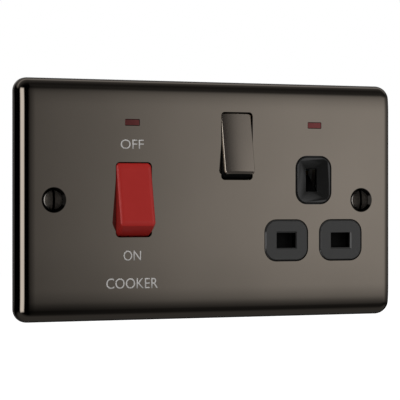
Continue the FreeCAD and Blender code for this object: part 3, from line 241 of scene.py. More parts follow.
softening = {"weld": 0.002, "flat": 1, "segments": 2, "angle": 40, "frontSegments": 6, "frontWithin": 0.03}


def softened(node, width, frontRadius=0):  # a copy of a node's own shape, with its edges broken
    piece = bpy.data.objects.new(f"{node}_shape", nodes[node].data.copy())
    bpy.context.scene.collection.objects.link(piece)
    editing(piece, "VERT")
    bpy.ops.mesh.remove_doubles(threshold=softening["weld"] * mm)
    bpy.ops.mesh.dissolve_limited(angle_limit=math.radians(softening["flat"]), delimit={"NORMAL"})
    done()
    if frontRadius:  # the edges round a rocker's leaning front are rounded more than the rest
        back = leaning(leans[node])
        front = min(vertex.co.dot(back) for vertex in piece.data.vertices) / mm
        within = softening["frontWithin"]
        pickEdges(piece, lambda middle, way: abs(middle.dot(back) - front) < within and abs(way.dot(back)) < 0.05)
        bpy.ops.mesh.bevel(offset=frontRadius * mm, segments=softening["frontSegments"], affect="EDGES")
        done()
    if width:
        brokenEdges(piece, width, softening["segments"], softening["angle"], use_clamp_overlap=True,
                    miter_outer="MITER_ARC")
    return smoothed(piece)


# Shader nodes

def rgba(value):  # a colour gets its alpha, and a wire stays as it is
    return (*value, 1) if isinstance(value, tuple) else value


class Wire:  # a shader socket that Python's operators work on
    def __init__(self, shader, socket):
        self.shader = shader
        self.socket = socket

    def math(self, operation, other=0):
        return self.shader.add("ShaderNodeMath", {"operation": operation}, {0: self, 1: other})

    def __add__(self, other):
        return self.math("ADD", other)

    def __sub__(self, other):
        return self.math("SUBTRACT", other)

    def __rsub__(self, other):
        return self.shader.add("ShaderNodeMath", {"operation": "SUBTRACT"}, {0: other, 1: self})

    def __mul__(self, other):
        return self.math("MULTIPLY", other)

    def __truediv__(self, other):
        return self.math("DIVIDE", other)

    __radd__ = __add__
    __rmul__ = __mul__


def setStops(ramp, stops):  # colours from 0 to 1 that don't blend into each other
    ramp.interpolation = "CONSTANT"
    while len(ramp.elements) < len(stops):
        ramp.elements.new(0.5)
    for element, (spot, colour) in zip(ramp.elements, stops):
        element.position = spot
        element.color = rgba(colour)


def setPlaces(mapping, places):  # a smooth line from 0 to 1, through each (across, up)
    line = mapping.curves[0]
    while len(line.points) < len(places):
        line.points.new(0.5, 0.5)
    for point, place in zip(line.points, places):
        point.location = place
        point.handle_type = "AUTO_CLAMPED"
    mapping.update()


class Shader:
    def __init__(self, owner):
        owner.use_nodes = True
        self.tree = owner.node_tree
        self.tree.nodes.clear()

    def add(self, kind, settings=None, sockets=None, output=0):
        node = self.tree.nodes.new(kind)
        for key, value in (settings or {}).items():
            if key == "stops":
                setStops(node.color_ramp, value)
            elif key == "places":
                setPlaces(node.mapping, value)
            else:
                setattr(node, key, value)
        for key, value in (sockets or {}).items():
            if isinstance(value, Wire):
                self.tree.links.new(value.socket, node.inputs[key])
            else:
                node.inputs[key].default_value = value
        return Wire(self, node.outputs[output]) if node.outputs else None

    def place(self):
        return self.add("ShaderNodeTexCoord", output="Object")

    def parts(self, vector):
        return [self.add("ShaderNodeSeparateXYZ", {}, {0: vector}, axis) for axis in "XYZ"]

    def noise(self, scale, detail=3, stretch=(1, 1, 1)):
        spot = self.add("ShaderNodeMapping", {}, {"Vector": self.place(), "Scale": stretch})
        return self.add("ShaderNodeTexNoise", {}, {"Vector": spot, "Scale": scale, "Detail": detail})

    def step(self, value, low, high, atLow=0, atHigh=1):
        sockets = {"Value": value, "From Min": low, "From Max": high, "To Min": atLow, "To Max": atHigh}
        return self.add("ShaderNodeMapRange", {"interpolation_type": "SMOOTHSTEP"}, sockets)

    def mix(self, share, first, second):
        return self.add("ShaderNodeMix", {"data_type": "RGBA"}, {0: share, 6: rgba(first), 7: rgba(second)}, 2)

    def bump(self, height, strength, distance):
        sockets = {"Height": height, "Strength": strength, "Distance": distance * mm}
        return self.add("ShaderNodeBump", {}, sockets)

    def curve(self, angle, table):  # a level that follows (angle, level) points, from -180 to 180 degrees
        top = max(level for spot, level in table)
        places = [((spot + 180) / 360, level / top) for spot, level in table]
        return self.add("ShaderNodeFloatCurve", {"places": places}, {"Value": angle / 360 + 0.5}) * top

    def fromScrew(self, x, z):  # how far to the side of the nearer fixing screw, and how far from its axis
        across = x.math("ABSOLUTE") - screwX * mm
        return across, (across * across + z * z).math("SQRT")

    def finish(self, **sockets):
        surface = {key.replace("_", " "): rgba(value) for key, value in sockets.items()}
        body = self.add("ShaderNodeBsdfPrincipled", {}, surface)
        self.add("ShaderNodeOutputMaterial", {}, {"Surface": body})


def blank(name):
    material = bpy.data.materials.new(name)
    return material, Shader(material)


# Finishes

def makeNickel(name, settings):
    material, shader = blank(name)
    haze = shader.noise(settings["hazeScale"], detail=4)
    grain = shader.noise(settings["grainScale"], detail=2)
    colour = shader.mix(haze, settings["dark"], settings["light"])
    if "sink" in settings:  # the pressed countersinks are painted nearly black, as painted shade
        x, y, z = shader.parts(shader.place())
        across, reach = shader.fromScrew(x, z)
        inner, outer = settings["sinkFrom"] * mm, settings["sinkTo"] * mm
        # painted shade: within the countersink's mouth the nickel's colour turns nearly black
        colour = shader.mix(shader.step(reach, inner, outer, 1, 0), colour, settings["sink"])
    roughness = settings["roughness"] + (haze - 0.5) * settings["hazeDepth"]
    normal = shader.bump(grain, settings["grainDepth"], distance=0.01)
    shader.finish(Base_Color=colour, Metallic=1.0, Roughness=roughness, Normal=normal)
    return material


def makePlastic(name, given):
    settings = {"toneScale": 90, "roughSpread": 0.08, "grainScale": 2600, "grainDepth": 0.12, "grainHeight": 0.02,
                "ior": 1.5, **given}
    material, shader = blank(name)
    tone = shader.noise(settings["toneScale"], detail=3)
    grain = shader.noise(settings["grainScale"], detail=2)
    colour = shader.mix(tone, settings["dark"], settings["light"])
    roughness = settings["roughness"] + (tone - 0.5) * settings["roughSpread"]
    sunk = 0
    if "dish" in settings:  # the earth dish is a glossier corner of the moulding, and the moulding's depths are painted black as painted shade
        x, y, z = shader.parts(shader.place())
        edge = settings["dishEdge"]
        inDish = (shader.step(z, settings["dishZ"] * mm, (settings["dishZ"] + edge) * mm)
                  * shader.step(x, settings["dishX"] * mm, (settings["dishX"] + edge) * mm))
        roughness = roughness + inDish * (settings["dishRoughness"] - settings["roughness"])
        colour = shader.mix(inDish, colour, settings["dish"])
        # painted shade: further in than the moulding's front, sunk fades the colour to near black and makes it a
        # dark mirror
        depth = y - inDish * (settings["dishDepth"] * mm)
        sunk = shader.step(depth, settings["deepFrom"] * mm, settings["deepTo"] * mm)
        colour = shader.mix(sunk, colour, settings["deep"])
        roughness = roughness + sunk * settings["deepRoughness"]
    normal = shader.bump(grain, settings["grainDepth"], settings["grainHeight"])
    shader.finish(Base_Color=colour, Metallic=sunk, Roughness=roughness, Normal=normal, IOR=settings["ior"])
    return material


def makeMetal(name, given):
    settings = {"toneScale": 160, "lineScale": 700, "lineDepth": 0.2, "stretch": (1, 1, 1), "roughSpread": 0.18,
                **given}
    material, shader = blank(name)
    tone = shader.noise(settings["toneScale"], detail=4)
    lines = shader.noise(settings["lineScale"], detail=3, stretch=settings["stretch"])
    colour = shader.mix(tone, settings["dark"], settings["light"])
    roughness = settings["roughness"] + (lines - 0.5) * settings["roughSpread"]
    if "rim" in settings:  # a slotted head: polished round its rim, where a lighter band is a painted highlight; black in its slot as painted shade; bright below
        x, y, z = shader.parts(shader.place())
        across, reach = shader.fromScrew(x, z)
        # painted highlight: the band round the head's rim is lighter in colour, as well as glossier
        rim = shader.step(reach, settings["rimFrom"] * mm, settings["rimTo"] * mm)
        colour = shader.mix(rim, colour, settings["rim"])
        roughness = roughness - rim * settings["rimPolish"]
        # painted shade: the cut slot is coloured nearly black
        slot = shader.step(across.math("ABSOLUTE"), settings["slotFrom"] * mm, settings["slotTo"] * mm, 1, 0)
        colour = shader.mix(slot, colour, settings["slot"])
        below = shader.step(y, settings["shankFrom"] * mm, settings["shankTo"] * mm)
        colour = shader.mix(below, colour, settings["shank"])
    normal = shader.bump(lines, settings["lineDepth"], distance=0.02)
    shader.finish(Base_Color=colour, Metallic=1.0, Roughness=roughness, Normal=normal)
    return material


def makeLens(name, settings):
    material, shader = blank(name)
    tone = shader.noise(settings["toneScale"], detail=2)
    colour = shader.mix(tone, settings["dark"], settings["light"])
    normal = shader.bump(tone, settings["grainDepth"], distance=0.02)
    shader.finish(Base_Color=colour, Metallic=1.0, Roughness=settings["roughness"], Normal=normal)
    return material


def makeGlass(name, settings):
    material, shader = blank(name)
    colour = shader.mix(shader.noise(settings["toneScale"], detail=2), settings["dark"], settings["light"])
    shader.finish(Base_Color=colour, Roughness=settings["roughness"], Transmission_Weight=settings["clear"],
                  IOR=settings["ior"])
    return material


recipes = {
    "black_nickel": (makeNickel, {
        "dark": (0.191, 0.166, 0.14), "light": (0.232, 0.201, 0.17), "roughness": 0.06, "hazeScale": 28,
        # the countersink colour is painted shade round the fixing screws
        "hazeDepth": 0.04, "grainScale": 900, "grainDepth": 0.02, "sink": (0.012, 0.011, 0.01), "sinkFrom": 4.35,
        "sinkTo": 4.65}),
    "cap_nickel": (makeNickel, {
        "dark": (0.39, 0.34, 0.29), "light": (0.47, 0.405, 0.345), "roughness": 0.2, "hazeScale": 60,
        "hazeDepth": 0.05, "grainScale": 1500, "grainDepth": 0.04}),
    "black_moulding": (makePlastic, {
        "dark": (0.023, 0.0228, 0.0224), "light": (0.029, 0.0288, 0.0283), "roughness": 0.34,
        "dish": (0.009, 0.009, 0.0088), "dishX": 25, "dishZ": -4, "dishEdge": 0.5, "dishRoughness": 0.14,
        # the deep colour is painted shade inside the holes
        "dishDepth": 1.8, "deep": (0.0006, 0.0006, 0.0006), "deepFrom": -6.4, "deepTo": -5.2, "deepRoughness": 0.4}),
    "rocker_black": (makePlastic, {
        "dark": (0.002, 0.002, 0.002), "light": (0.004, 0.004, 0.004), "roughness": 0.5, "ior": 1.22}),
    "housing_moulding": (makePlastic, {
        "dark": (0.56, 0.55, 0.52), "light": (0.66, 0.65, 0.61), "roughness": 0.5, "grainDepth": 0.2}),
    "red_moulding": (makePlastic, {
        "dark": (0.25, 0.011, 0.009), "light": (0.3, 0.015, 0.012), "roughness": 0.3, "grainDepth": 0.1,
        "ior": 1.38}),
    "natural_nylon": (makePlastic, {
        "dark": (0.62, 0.6, 0.5), "light": (0.72, 0.7, 0.6), "roughness": 0.4}),
    "shutter_moulding": (makePlastic, {
        "dark": (0.0015, 0.0015, 0.0015), "light": (0.003, 0.003, 0.003), "roughness": 0.5, "ior": 1.2}),
    "brass": (makeMetal, {
        "dark": (0.56, 0.36, 0.12), "light": (0.74, 0.53, 0.22), "roughness": 0.3, "stretch": (1, 6, 1)}),
    "copper": (makeMetal, {
        "dark": (0.6, 0.25, 0.13), "light": (0.76, 0.38, 0.22), "roughness": 0.28, "stretch": (0.2, 4, 4)}),
    "screw_steel": (makeMetal, {
        "dark": (0.3, 0.28, 0.25), "light": (0.42, 0.4, 0.36), "roughness": 0.3, "toneScale": 700}),
    "spring_steel": (makeMetal, {
        "dark": (0.38, 0.38, 0.38), "light": (0.55, 0.55, 0.54), "roughness": 0.25}),
    "screw_nickel": (makeMetal, {
        "dark": (0.028, 0.025, 0.022), "light": (0.13, 0.115, 0.1), "roughness": 0.56, "toneScale": 1100,
        # the rim colour is a painted highlight, and the slot colour is painted shade
        "lineScale": 1500, "lineDepth": 1.0, "rim": (0.2, 0.185, 0.17), "rimFrom": 3.12, "rimTo": 3.24,
        "rimPolish": 0.28, "slot": (0.002, 0.002, 0.002), "slotFrom": 0.4, "slotTo": 0.46,
        "shank": (0.34, 0.31, 0.26), "shankFrom": -4.4, "shankTo": -3.8}),
    "neon_lens": (makeLens, {
        "dark": (0.128, 0.038, 0.038), "light": (0.17, 0.05, 0.048), "roughness": 0.12, "toneScale": 900,
        "grainDepth": 0.15}),
    "lamp_glass": (makeGlass, {
        "dark": (0.9, 0.88, 0.84), "light": (0.98, 0.97, 0.95), "roughness": 0.05, "toneScale": 300, "clear": 0.9,
        "ior": 1.47}),
    "ink": (makePlastic, {
        "dark": (0.36, 0.35, 0.34), "light": (0.44, 0.43, 0.42), "roughness": 0.6, "toneScale": 2500}),
}
finishes = {name: make(name, settings) for name, (make, settings) in recipes.items()}
print("finishes made")

# Resistors: lacquer with colour rings, which start at a share of the length and are a share of it wide
resistor = {"length": 6, "lacquer": (0.5, 0.38, 0.22), "ring": 0.08, "roughness": 0.35, "roughSpread": 0.1,
            "grainScale": 1200,
            "rings": ((0.2, (0.3, 0.02, 0.02)), (0.38, (0.3, 0.02, 0.02)), (0.56, (0.6, 0.45, 0.02)),
                      (0.8, (0.5, 0.35, 0.1)))}


def makeRings(name, middle):  # middle is its place along X, in metres
    material, shader = blank(name)
    x, y, z = shader.parts(shader.place())
    along = (x - middle) / (resistor["length"] * mm) + 0.5
    stops = [(0, resistor["lacquer"])]
    for start, colour in resistor["rings"]:
        stops += [(start, colour), (start + resistor["ring"], resistor["lacquer"])]
    grain = shader.noise(resistor["grainScale"])
    roughness = resistor["roughness"] + (grain - 0.5) * resistor["roughSpread"]
    colour = shader.add("ShaderNodeValToRGB", {"stops": stops}, {"Fac": along})
    shader.finish(Base_Color=colour, Roughness=roughness)
    return material


def painted(piece, material):
    piece.data.materials.clear()
    piece.data.materials.append(material)


def dressed(piece, body, finish, node=None):  # the last step of every new piece
    painted(piece, finishes[finish])
    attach(piece, body)
    if node:
        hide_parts(node)


for node, slot in slots.items():
    if slot in finishes:
        painted(nodes[node], finishes[slot])
for node in ("cooker_neon_resistor", "socket_neon_resistor"):
    left, right = (corner.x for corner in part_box(node))
    painted(nodes[node], makeRings(f"{node}_bands", (left + right) / 2))

# Face plate: drawn sheet with a rolled edge, a soft crown inside it and pierced openings
plate = {"width": 147, "height": 86, "depth": 6.5, "corner": 4.8, "cornerSegments": 16, "roll": 4,
         "rollSegments": 18, "sheet": 1.1, "innerBevel": 1.9, "lip": 0.12, "lipSegments": 2, "lipAngle": 42,
         "smooth": 30, "crownFrom": 31, "crownSlope": 0.185, "crownCuts": 16, "endFrom": 67, "endRadius": 100,
         "endCuts": 4, "cutReach": 2}
screwSeat = {"hole": 2, "holeDepth": 8, "holeStep": 0.01, "mouth": 4.4, "above": 0.5, "dimple": 4.65,
             "dimpleBottom": 3, "dimpleDepth": 1.65, "sunk": 0.3}
openings = {  # middle in X and Z, width, height and corner
    "cookerRocker": (-30.5, 0.1, 13.75, 26.8, 1.6),
    "socketRocker": (9.55, 19.62, 12.55, 24.74, 1.4),
    "leftPad": (29.385, -14.85, 17.8, 15.5, 4.8),
    "rightPad": (51.615, -14.85, 17.8, 15.5, 4.8),
    "earthDish": (40.5, 7.38, 14.8, 18, 4.6),
    "cookerNeon": (-31.05, 27.6, 5.6, 2.4, 0.3),
    "socketNeon": (40.9, 27.6, 5.6, 2.4, 0.3),
}


def crown(x, z):  # how far the face has fallen here, and how steeply it falls along X and Z
    wide = min(max(abs(x) - plate["endFrom"], 0), plate["width"] / 2 - plate["roll"] - plate["endFrom"])
    run = plate["height"] / 2 - plate["roll"] - plate["crownFrom"]
    share = min(max(abs(z) - plate["crownFrom"], 0) / run, 1)
    fall = plate["crownSlope"] * run * share ** 3 / 3 + wide ** 2 / (2 * plate["endRadius"])
    return fall, wide / plate["endRadius"], plate["crownSlope"] * share ** 2


def fromEdge(x, z):  # how far inside the outline a point is, and which way is outward
    beyondX = abs(x) - plate["width"] / 2 + plate["corner"]
    beyondZ = abs(z) - plate["height"] / 2 + plate["corner"]
    if beyondX > 0 and beyondZ > 0:
        outward = Vector((beyondX, beyondZ))
    else:
        outward = Vector((1, 0)) if beyondX > beyondZ else Vector((0, 1))
    reach = max(Vector((max(beyondX, 0), max(beyondZ, 0))).length, beyondX, beyondZ)
    outward.normalize()
    return plate["corner"] - reach, Vector((math.copysign(outward.x, x), math.copysign(outward.y, z)))


def rollCrown(piece):  # a soft crown towards the rim, then a roll that carries its slope on round
    roll, front, close = plate["roll"], -plate["depth"], 0.001
    for vertex in piece.data.vertices:
        x, y, z = vertex.co / mm
        if y > front + roll + close:
            continue
        if y < front + close:
            vertex.co.y += crown(x, z)[0] * mm
            continue
        inset, outward = fromEdge(x, z)
        inset = min(max(inset, 0), roll)
        start = Vector((x, z)) - outward * (roll - inset)
        fall, slopeX, slopeZ = crown(*start)
        slope = math.atan(abs(outward.x) * slopeX + abs(outward.y) * slopeZ)
        turn = slope + math.asin((roll - inset) / roll) * (1 - slope / (math.pi / 2))
        radius = roll / (1 - math.sin(slope))
        place = start + outward * (roll - radius * (1 - math.sin(turn)))
        depth = fall + radius * (math.cos(slope) - math.cos(turn)) + front
        vertex.co = Vector((place.x, depth, place.y)) * mm


def makePlate():
    halfWidth, halfHeight = plate["width"] / 2, plate["height"] / 2
    front, inside = -plate["depth"], -plate["depth"] + plate["sheet"]
    piece = block("plate_sheet", (-halfWidth, front, -halfHeight), (halfWidth, 0, halfHeight), plate["corner"],
                  plate["cornerSegments"])
    roundFront(piece, front, plate["roll"], plate["rollSegments"])
    for way, start, end, cuts in (
            (Vector((0, 0, 1)), plate["crownFrom"], halfHeight - plate["roll"], plate["crownCuts"]),
            (Vector((1, 0, 0)), plate["endFrom"], halfWidth - plate["roll"], plate["endCuts"])):
        for cut in range(cuts):
            for side in (-1, 1):
                cutFront(piece, way, side * (start + (end - start) * cut / cuts))
    rollCrown(piece)
    pickFaces(piece, lambda normal: normal.y > 0.9)  # the back is hollowed out to the sheet's thickness
    bevel = plate["innerBevel"]
    bpy.ops.mesh.inset(thickness=plate["sheet"] * mm)
    bpy.ops.mesh.extrude_region_move(TRANSFORM_OT_translate={"value": (0, (inside + bevel) * mm, 0)})
    bpy.ops.mesh.inset(thickness=bevel * mm, depth=-bevel * mm)
    done()
    places = (-screwX, screwX)
    dimples = [cone("dimple", x, inside - screwSeat["sunk"], screwSeat["dimple"], screwSeat["dimpleBottom"],
                    screwSeat["dimpleDepth"]) for x in places]
    carved(piece, joined("dimples", dimples), "UNION")
    reach = plate["cutReach"]
    tools = [block("opening", (x - width / 2, front - reach, z - height / 2),
                   (x + width / 2, reach, z + height / 2), corner)
             for x, z, width, height, corner in openings.values()]
    mouth, hole, above = screwSeat["mouth"], screwSeat["hole"], screwSeat["above"]
    bore = hole - screwSeat["holeStep"]
    for x in places:
        tools.append(cone("mouth", x, front - above, mouth + above, hole, mouth - hole + above))
        tools.append(cone("hole", x, front, bore, bore, screwSeat["holeDepth"]))
    for tool in tools:
        carved(piece, tool)
    brokenEdges(piece, plate["lip"], plate["lipSegments"], plate["lipAngle"], use_clamp_overlap=True)
    return smoothed(piece, plate["smooth"])


dressed(makePlate(), "unit", "black_nickel", "face_plate")
print("plate made")

# Words printed on the face: left, right, bottom and top of each
words = {
    "OFF": (-35.5, -26.8, 18.1, 21.5),
    "ON": (-34.4, -27.8, -21.55, -18.0),
    "COOKER": (-40.9, -21.4, -31.5, -27.8),
}
lettering = {"size": 5, "curveSteps": 6, "thickness": 0.03, "thin": -0.012}


def makeWord(word, left, right, bottom, top):
    bpy.ops.object.text_add(rotation=(math.pi / 2, 0, 0))
    writing = bpy.context.object
    writing.data.body = word
    writing.data.size = lettering["size"] * mm
    writing.data.offset = lettering["thin"] * mm
    writing.data.resolution_u = lettering["curveSteps"]
    only(writing)
    bpy.ops.object.convert(target="MESH")
    piece = settled(named(f"word_{word.lower()}"))
    corners = [vertex.co for vertex in piece.data.vertices]
    low = Vector([min(corner[axis] for corner in corners) for axis in range(3)])
    high = Vector([max(corner[axis] for corner in corners) for axis in range(3)])
    across = (right - left) * mm / (high.x - low.x)
    upright = (top - bottom) * mm / (high.z - low.z)
    piece.scale = (across, 1, upright)
    piece.location = (left * mm - low.x * across, -plate["depth"] * mm - low.y, bottom * mm - low.z * upright)
    settled(piece)
    return modified(piece, "SOLIDIFY", thickness=lettering["thickness"] * mm, offset=0)


for word, place in words.items():
    dressed(makeWord(word, *place), "unit", "ink")
print("words printed")

# Mouldings, rockers and terminals: the solids with their edges broken. Body, finish and width of the edge
edges = {
    "switch_housing": ("unit", "housing_moulding", 0.25),
    "socket_housing": ("unit", "housing_moulding", 0.25),
    "cooker_rocker": ("cooker_rocker", "red_moulding", 0.5),
    "socket_rocker": ("socket_rocker", "rocker_black", 0.2),
    "line_load_terminal": ("unit", "brass", 0.15),
    "line_supply_terminal": ("unit", "brass", 0.15),
    "neutral_load_terminal": ("unit", "brass", 0.15),
    "neutral_supply_terminal": ("unit", "brass", 0.15),
    "earth_terminal": ("unit", "brass", 0.15),
    "terminal_screws": ("unit", "screw_steel", 0.12),
    "cooker_neon_lens": ("unit", "neon_lens", 0.12),
    "socket_neon_lens": ("unit", "neon_lens", 0.12),
}
frontRadii = {"cooker_rocker": 0.9}
for node, (body, finish, width) in edges.items():
    dressed(softened(node, width, frontRadii.get(node, 0)), body, finish, node)
print("edges broken")

# Socket face: the front moulding again, with a lead-in round the mouths of the line and neutral holes
pins = {"front": -6.9, "halfWidth": 4, "halfHeight": 2.8, "around": 0.05, "leadIn": 0.44, "leadDepth": 0.33,
        "pads": ("leftPad", "rightPad")}


def makeFront():
    piece = softened("front_moulding", 0)

    def atMouth(middle, way):
        return inPlane(middle, way, pins["front"], 0.02) and any(
            abs(middle.x - openings[pad][0]) < pins["halfWidth"] + pins["around"]
            and abs(middle.z - openings[pad][1]) < pins["halfHeight"] + pins["around"] for pad in pins["pads"])

    pickEdges(piece, atMouth)
    bpy.ops.mesh.bevel(offset=pins["leadIn"] * mm, segments=1, affect="EDGES")
    done()
    for vertex in piece.data.vertices:  # the lead-in is wider than it is deep
        if abs(vertex.co.y / mm - pins["front"] - pins["leadIn"]) < 0.01 and vertex.co.z < 0:
            vertex.co.y = (pins["front"] + pins["leadDepth"]) * mm
    return smoothed(piece)


dressed(makeFront(), "unit", "black_moulding", "front_moulding")
print("socket face made")

# Metal cap of the socket rocker: bowed from side to side, with its edges rolled over
cap = {"width": 11.99, "height": 22, "front": -7, "back": -6.1, "bow": 0.3, "bowCuts": 20, "corner": 0.8,
       "edge": 0.4, "edgeSegments": 6, "smooth": 40, "lip": 2, "lipRun": 3, "lipDrop": 0.5, "backRoom": 0.03}


def makeCap():
    half, tall, front, back = cap["width"] / 2, cap["height"] / 2, cap["front"], cap["back"]
    low, edge, lip, run = -tall - cap["lipDrop"], cap["edge"], cap["lip"], cap["lipRun"]
    piece = block("rocker_cap", (-half, front, low), (half, back, tall), cap["corner"])
    roundFront(piece, front, edge, cap["edgeSegments"])
    for cut in range(1, cap["bowCuts"]):
        cutFront(piece, Vector((1, 0, 0)), half * (2 * cut / cap["bowCuts"] - 1))
    for vertex in piece.data.vertices:  # its lower edge is rolled wider than the rest, then all of it is bowed
        x, y, z = vertex.co / mm
        rise = z - low
        if rise < run:
            wider = rise * lip if rise < edge else run - (run - rise) * (run - edge * lip) / (run - edge)
            vertex.co.z = (wider + low) * mm
        if y < back - 0.01:
            if rise < edge and abs(x) < half - cap["corner"]:
                y = front + edge - rise  # the lower edge is a flat chamfer
            share = min(max(1 - rise / run, 0), 1)
            y = front + (y - front) * (1 + (lip - 1) * share)
            vertex.co.y = (min(y, back - cap["backRoom"]) + cap["bow"] * (x / half) ** 2) * mm
    piece.rotation_euler = (math.radians(leans["socket_rocker"]), 0, 0)
    moved(piece, *socketPivot)
    return smoothed(piece, cap["smooth"])


dressed(makeCap(), "socket_rocker", "cap_nickel", "socket_rocker_cap")
print("cap made")

# Fixing screws: raised countersunk heads with a slot, and a real thread
fixing = {"head": 3.45, "rise": 0.9, "rim": -5.55, "rimBand": 0.15, "root": 1.42, "crest": 1.75, "length": 25,
          "tip": 0.5, "slot": 0.8, "slotDepth": 1.1, "edge": 0.07, "domeSteps": 10, "steps": 64, "pitch": 0.6,
          "ridge": 0.24, "threadFrom": 5.2, "threadShort": 6, "threadSteps": 20}


def makeFixingScrew():
    head, rise, rim, root = fixing["head"], fixing["rise"], fixing["rim"], fixing["root"]
    top, end, half = rim - rise, rim + fixing["length"], fixing["slot"] / 2
    sphere = (head ** 2 + rise ** 2) / (2 * rise)
    span = math.asin(head / sphere)
    turns = [span * step / fixing["domeSteps"] for step in range(fixing["domeSteps"] + 1)]
    dome = [(sphere * math.sin(turn), top + sphere * (1 - math.cos(turn))) for turn in turns]
    neck = rim + fixing["rimBand"]
    shank = [(head, neck), (root, neck + head - root), (root, end - fixing["tip"]), (root - fixing["tip"], end),
             (0, end)]
    piece = turned("fixing_screw", dome + shank, fixing["steps"])
    carved(piece, block("slot", (-half, top - overrun, -head - overrun),
                        (half, top + fixing["slotDepth"], head + overrun)))
    brokenEdges(piece, fixing["edge"], segments=2, angle=40)
    threadTurns = int((fixing["length"] - fixing["threadShort"]) / fixing["pitch"])
    ridge = helix("thread", 3, fixing["ridge"], fixing["crest"] - fixing["ridge"], fixing["pitch"], threadTurns,
                  fixing["threadSteps"])
    ridge.rotation_euler = (-math.pi / 2, 0, 0)
    moved(ridge, y=rim + fixing["threadFrom"])
    return smoothed(joined("fixing_screw", [piece, ridge]))


leftScrew = makeFixingScrew()
rightScrew = copied(leftScrew, "right_fixing_screw")
moved(leftScrew, x=-screwX)
moved(rightScrew, x=screwX)
dressed(joined("fixing_screws_shape", [leftScrew, rightScrew]), "unit", "screw_nickel", "fixing_screws")
print("fixing screws made")

# Assembly screws: pan heads with a cross recess, at the back of the housings
assembly = {"places": ((-46.9, -13.9), (-14.1, 13.9), (-2.4, 29.9), (54.6, -29.9)), "front": -5.1, "back": 20,
            "shank": 1.38, "head": 2.7, "recess": 0.55, "recessSpan": 3, "recessDepth": 1.1, "edge": 0.06,
            "headProfile": ((1, 0), (1, 0.7), (0.93, 1.2), (0.72, 1.6), (0.4, 1.77), (0, 1.8)), "steps": 40}


def makeAssemblyScrew():
    back, shank, span = assembly["back"], assembly["shank"], assembly["recessSpan"]
    head = [(assembly["head"] * share, back + rise) for share, rise in assembly["headProfile"]]
    top = head[-1][1]
    profile = [(0, assembly["front"]), (shank, assembly["front"]), (shank, back)] + head
    piece = turned("assembly_screw", profile, assembly["steps"])
    for wide, tall in ((assembly["recess"], span), (span, assembly["recess"])):
        carved(piece, block("recess", (-wide / 2, top - assembly["recessDepth"], -tall / 2),
                            (wide / 2, top + overrun, tall / 2)))
    brokenEdges(piece, assembly["edge"], segments=1, angle=40)
    return smoothed(piece)


screws = [makeAssemblyScrew()]
screws += [copied(screws[0], f"assembly_screw_{index}") for index in range(1, len(assembly["places"]))]
for screw, (x, z) in zip(screws, assembly["places"]):
    moved(screw, x=x, z=z)
dressed(joined("assembly_screws_shape", screws), "unit", "screw_steel", "assembly_screws")
print("assembly screws made")

# Coil springs: three in the rockers' tubes, which lean with them, and one that stands under the shutter
springs = {
    "cooker_line_spring": {
        "joint": "cooker_line_plunger_press", "body": "cooker_rocker", "pivot": (-34.1, -0.9, 0.2)},
    "cooker_neutral_spring": {
        "joint": "cooker_neutral_plunger_press", "body": "cooker_rocker", "pivot": (-26.9, -0.9, 0.2)},
    "socket_spring": {"joint": "socket_plunger_press", "body": "socket_rocker", "pivot": socketPivot},
    "shutter_spring": {"joint": "shutter_drop", "body": "unit"},
}
coil = {"wire": 0.22, "sides": 10, "steps": 22, "tubeFrom": -5.6, "tubeTo": 2.4, "tubeRadius": 0.93, "tubeTurns": 8,
        "shutterRadius": 0.98, "shutterTurns": 9}


def makeSpring(node, joint, body, pivot=None):
    if pivot:
        way, turn = leaning(leans[body]), -math.pi / 2 + math.radians(leans[body])
        anchor = Vector(pivot) + way * coil["tubeFrom"]
        length, radius, turns = coil["tubeTo"] - coil["tubeFrom"], coil["tubeRadius"], coil["tubeTurns"]
    else:
        low, high = (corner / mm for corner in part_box(node))
        way, turn = Vector((0, 0, 1)), 0
        anchor = Vector(((low.x + high.x) / 2, (low.y + high.y) / 2, low.z))
        length, radius, turns = high.z - low.z, coil["shutterRadius"], coil["shutterTurns"]
    pitch = (length - 2 * coil["wire"]) / turns
    piece = helix(f"{node}_coil", coil["sides"], coil["wire"], radius, pitch, turns, coil["steps"])
    piece.rotation_euler = (turn, 0, 0)
    moved(piece, *(anchor + way * coil["wire"]))
    bpy.ops.object.shade_smooth()
    dressed(piece, body, "spring_steel", node)
    travel = next(entry["range_m"][1] for entry in frame["joints"] if entry["name"] == joint) / mm
    1 - travel / length
    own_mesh(piece)


for node, spring in springs.items():
    makeSpring(node, **spring)
print("springs made")

# Studio: white all round for the eye, and for what shines a dim room with a soft box.
# The room's light is three curves of (angle, level): round the object, up and down, and overhead
studio = {"fill": 0.66, "low": 0.5, "fillFrom": -0.7, "fillTo": 0.5, "steepFrom": 0.3, "steepTo": 0.6}
sweep = [(-180, 1.0), (-166, 0.3), (-152, 0), (-22, 0), (8, 0.0), (13, 0.05), (17.9, 0.33), (19.8, 0.43),
         (21.3, 0.57), (22.8, 0.69), (24.6, 0.79), (26.5, 0.9), (28.5, 0.93), (40, 0.9), (55, 0.7), (75, 0.28),
         (95, 0.17), (120, 0.11), (150, 0.1), (166, 0.4), (180, 1.0)]
rise = [(-90, 0), (-60, 0), (-42, 0.03), (-33, 0.035), (-24.4, 0.045), (-20.7, 0.09), (-17.5, 0.165),
        (-14.6, 0.25), (-12, 0.38), (-9.7, 0.5), (-6, 0.63), (-3.7, 0.73), (-2.6, 0.82), (-1.8, 0.955), (0, 1),
        (2.6, 0.98), (8.5, 0.85), (14.6, 0.67), (17.5, 0.56), (20.7, 0.38), (24.4, 0.2), (33, 0.07), (42, 0.06),
        (60, 0.02), (90, 0)]
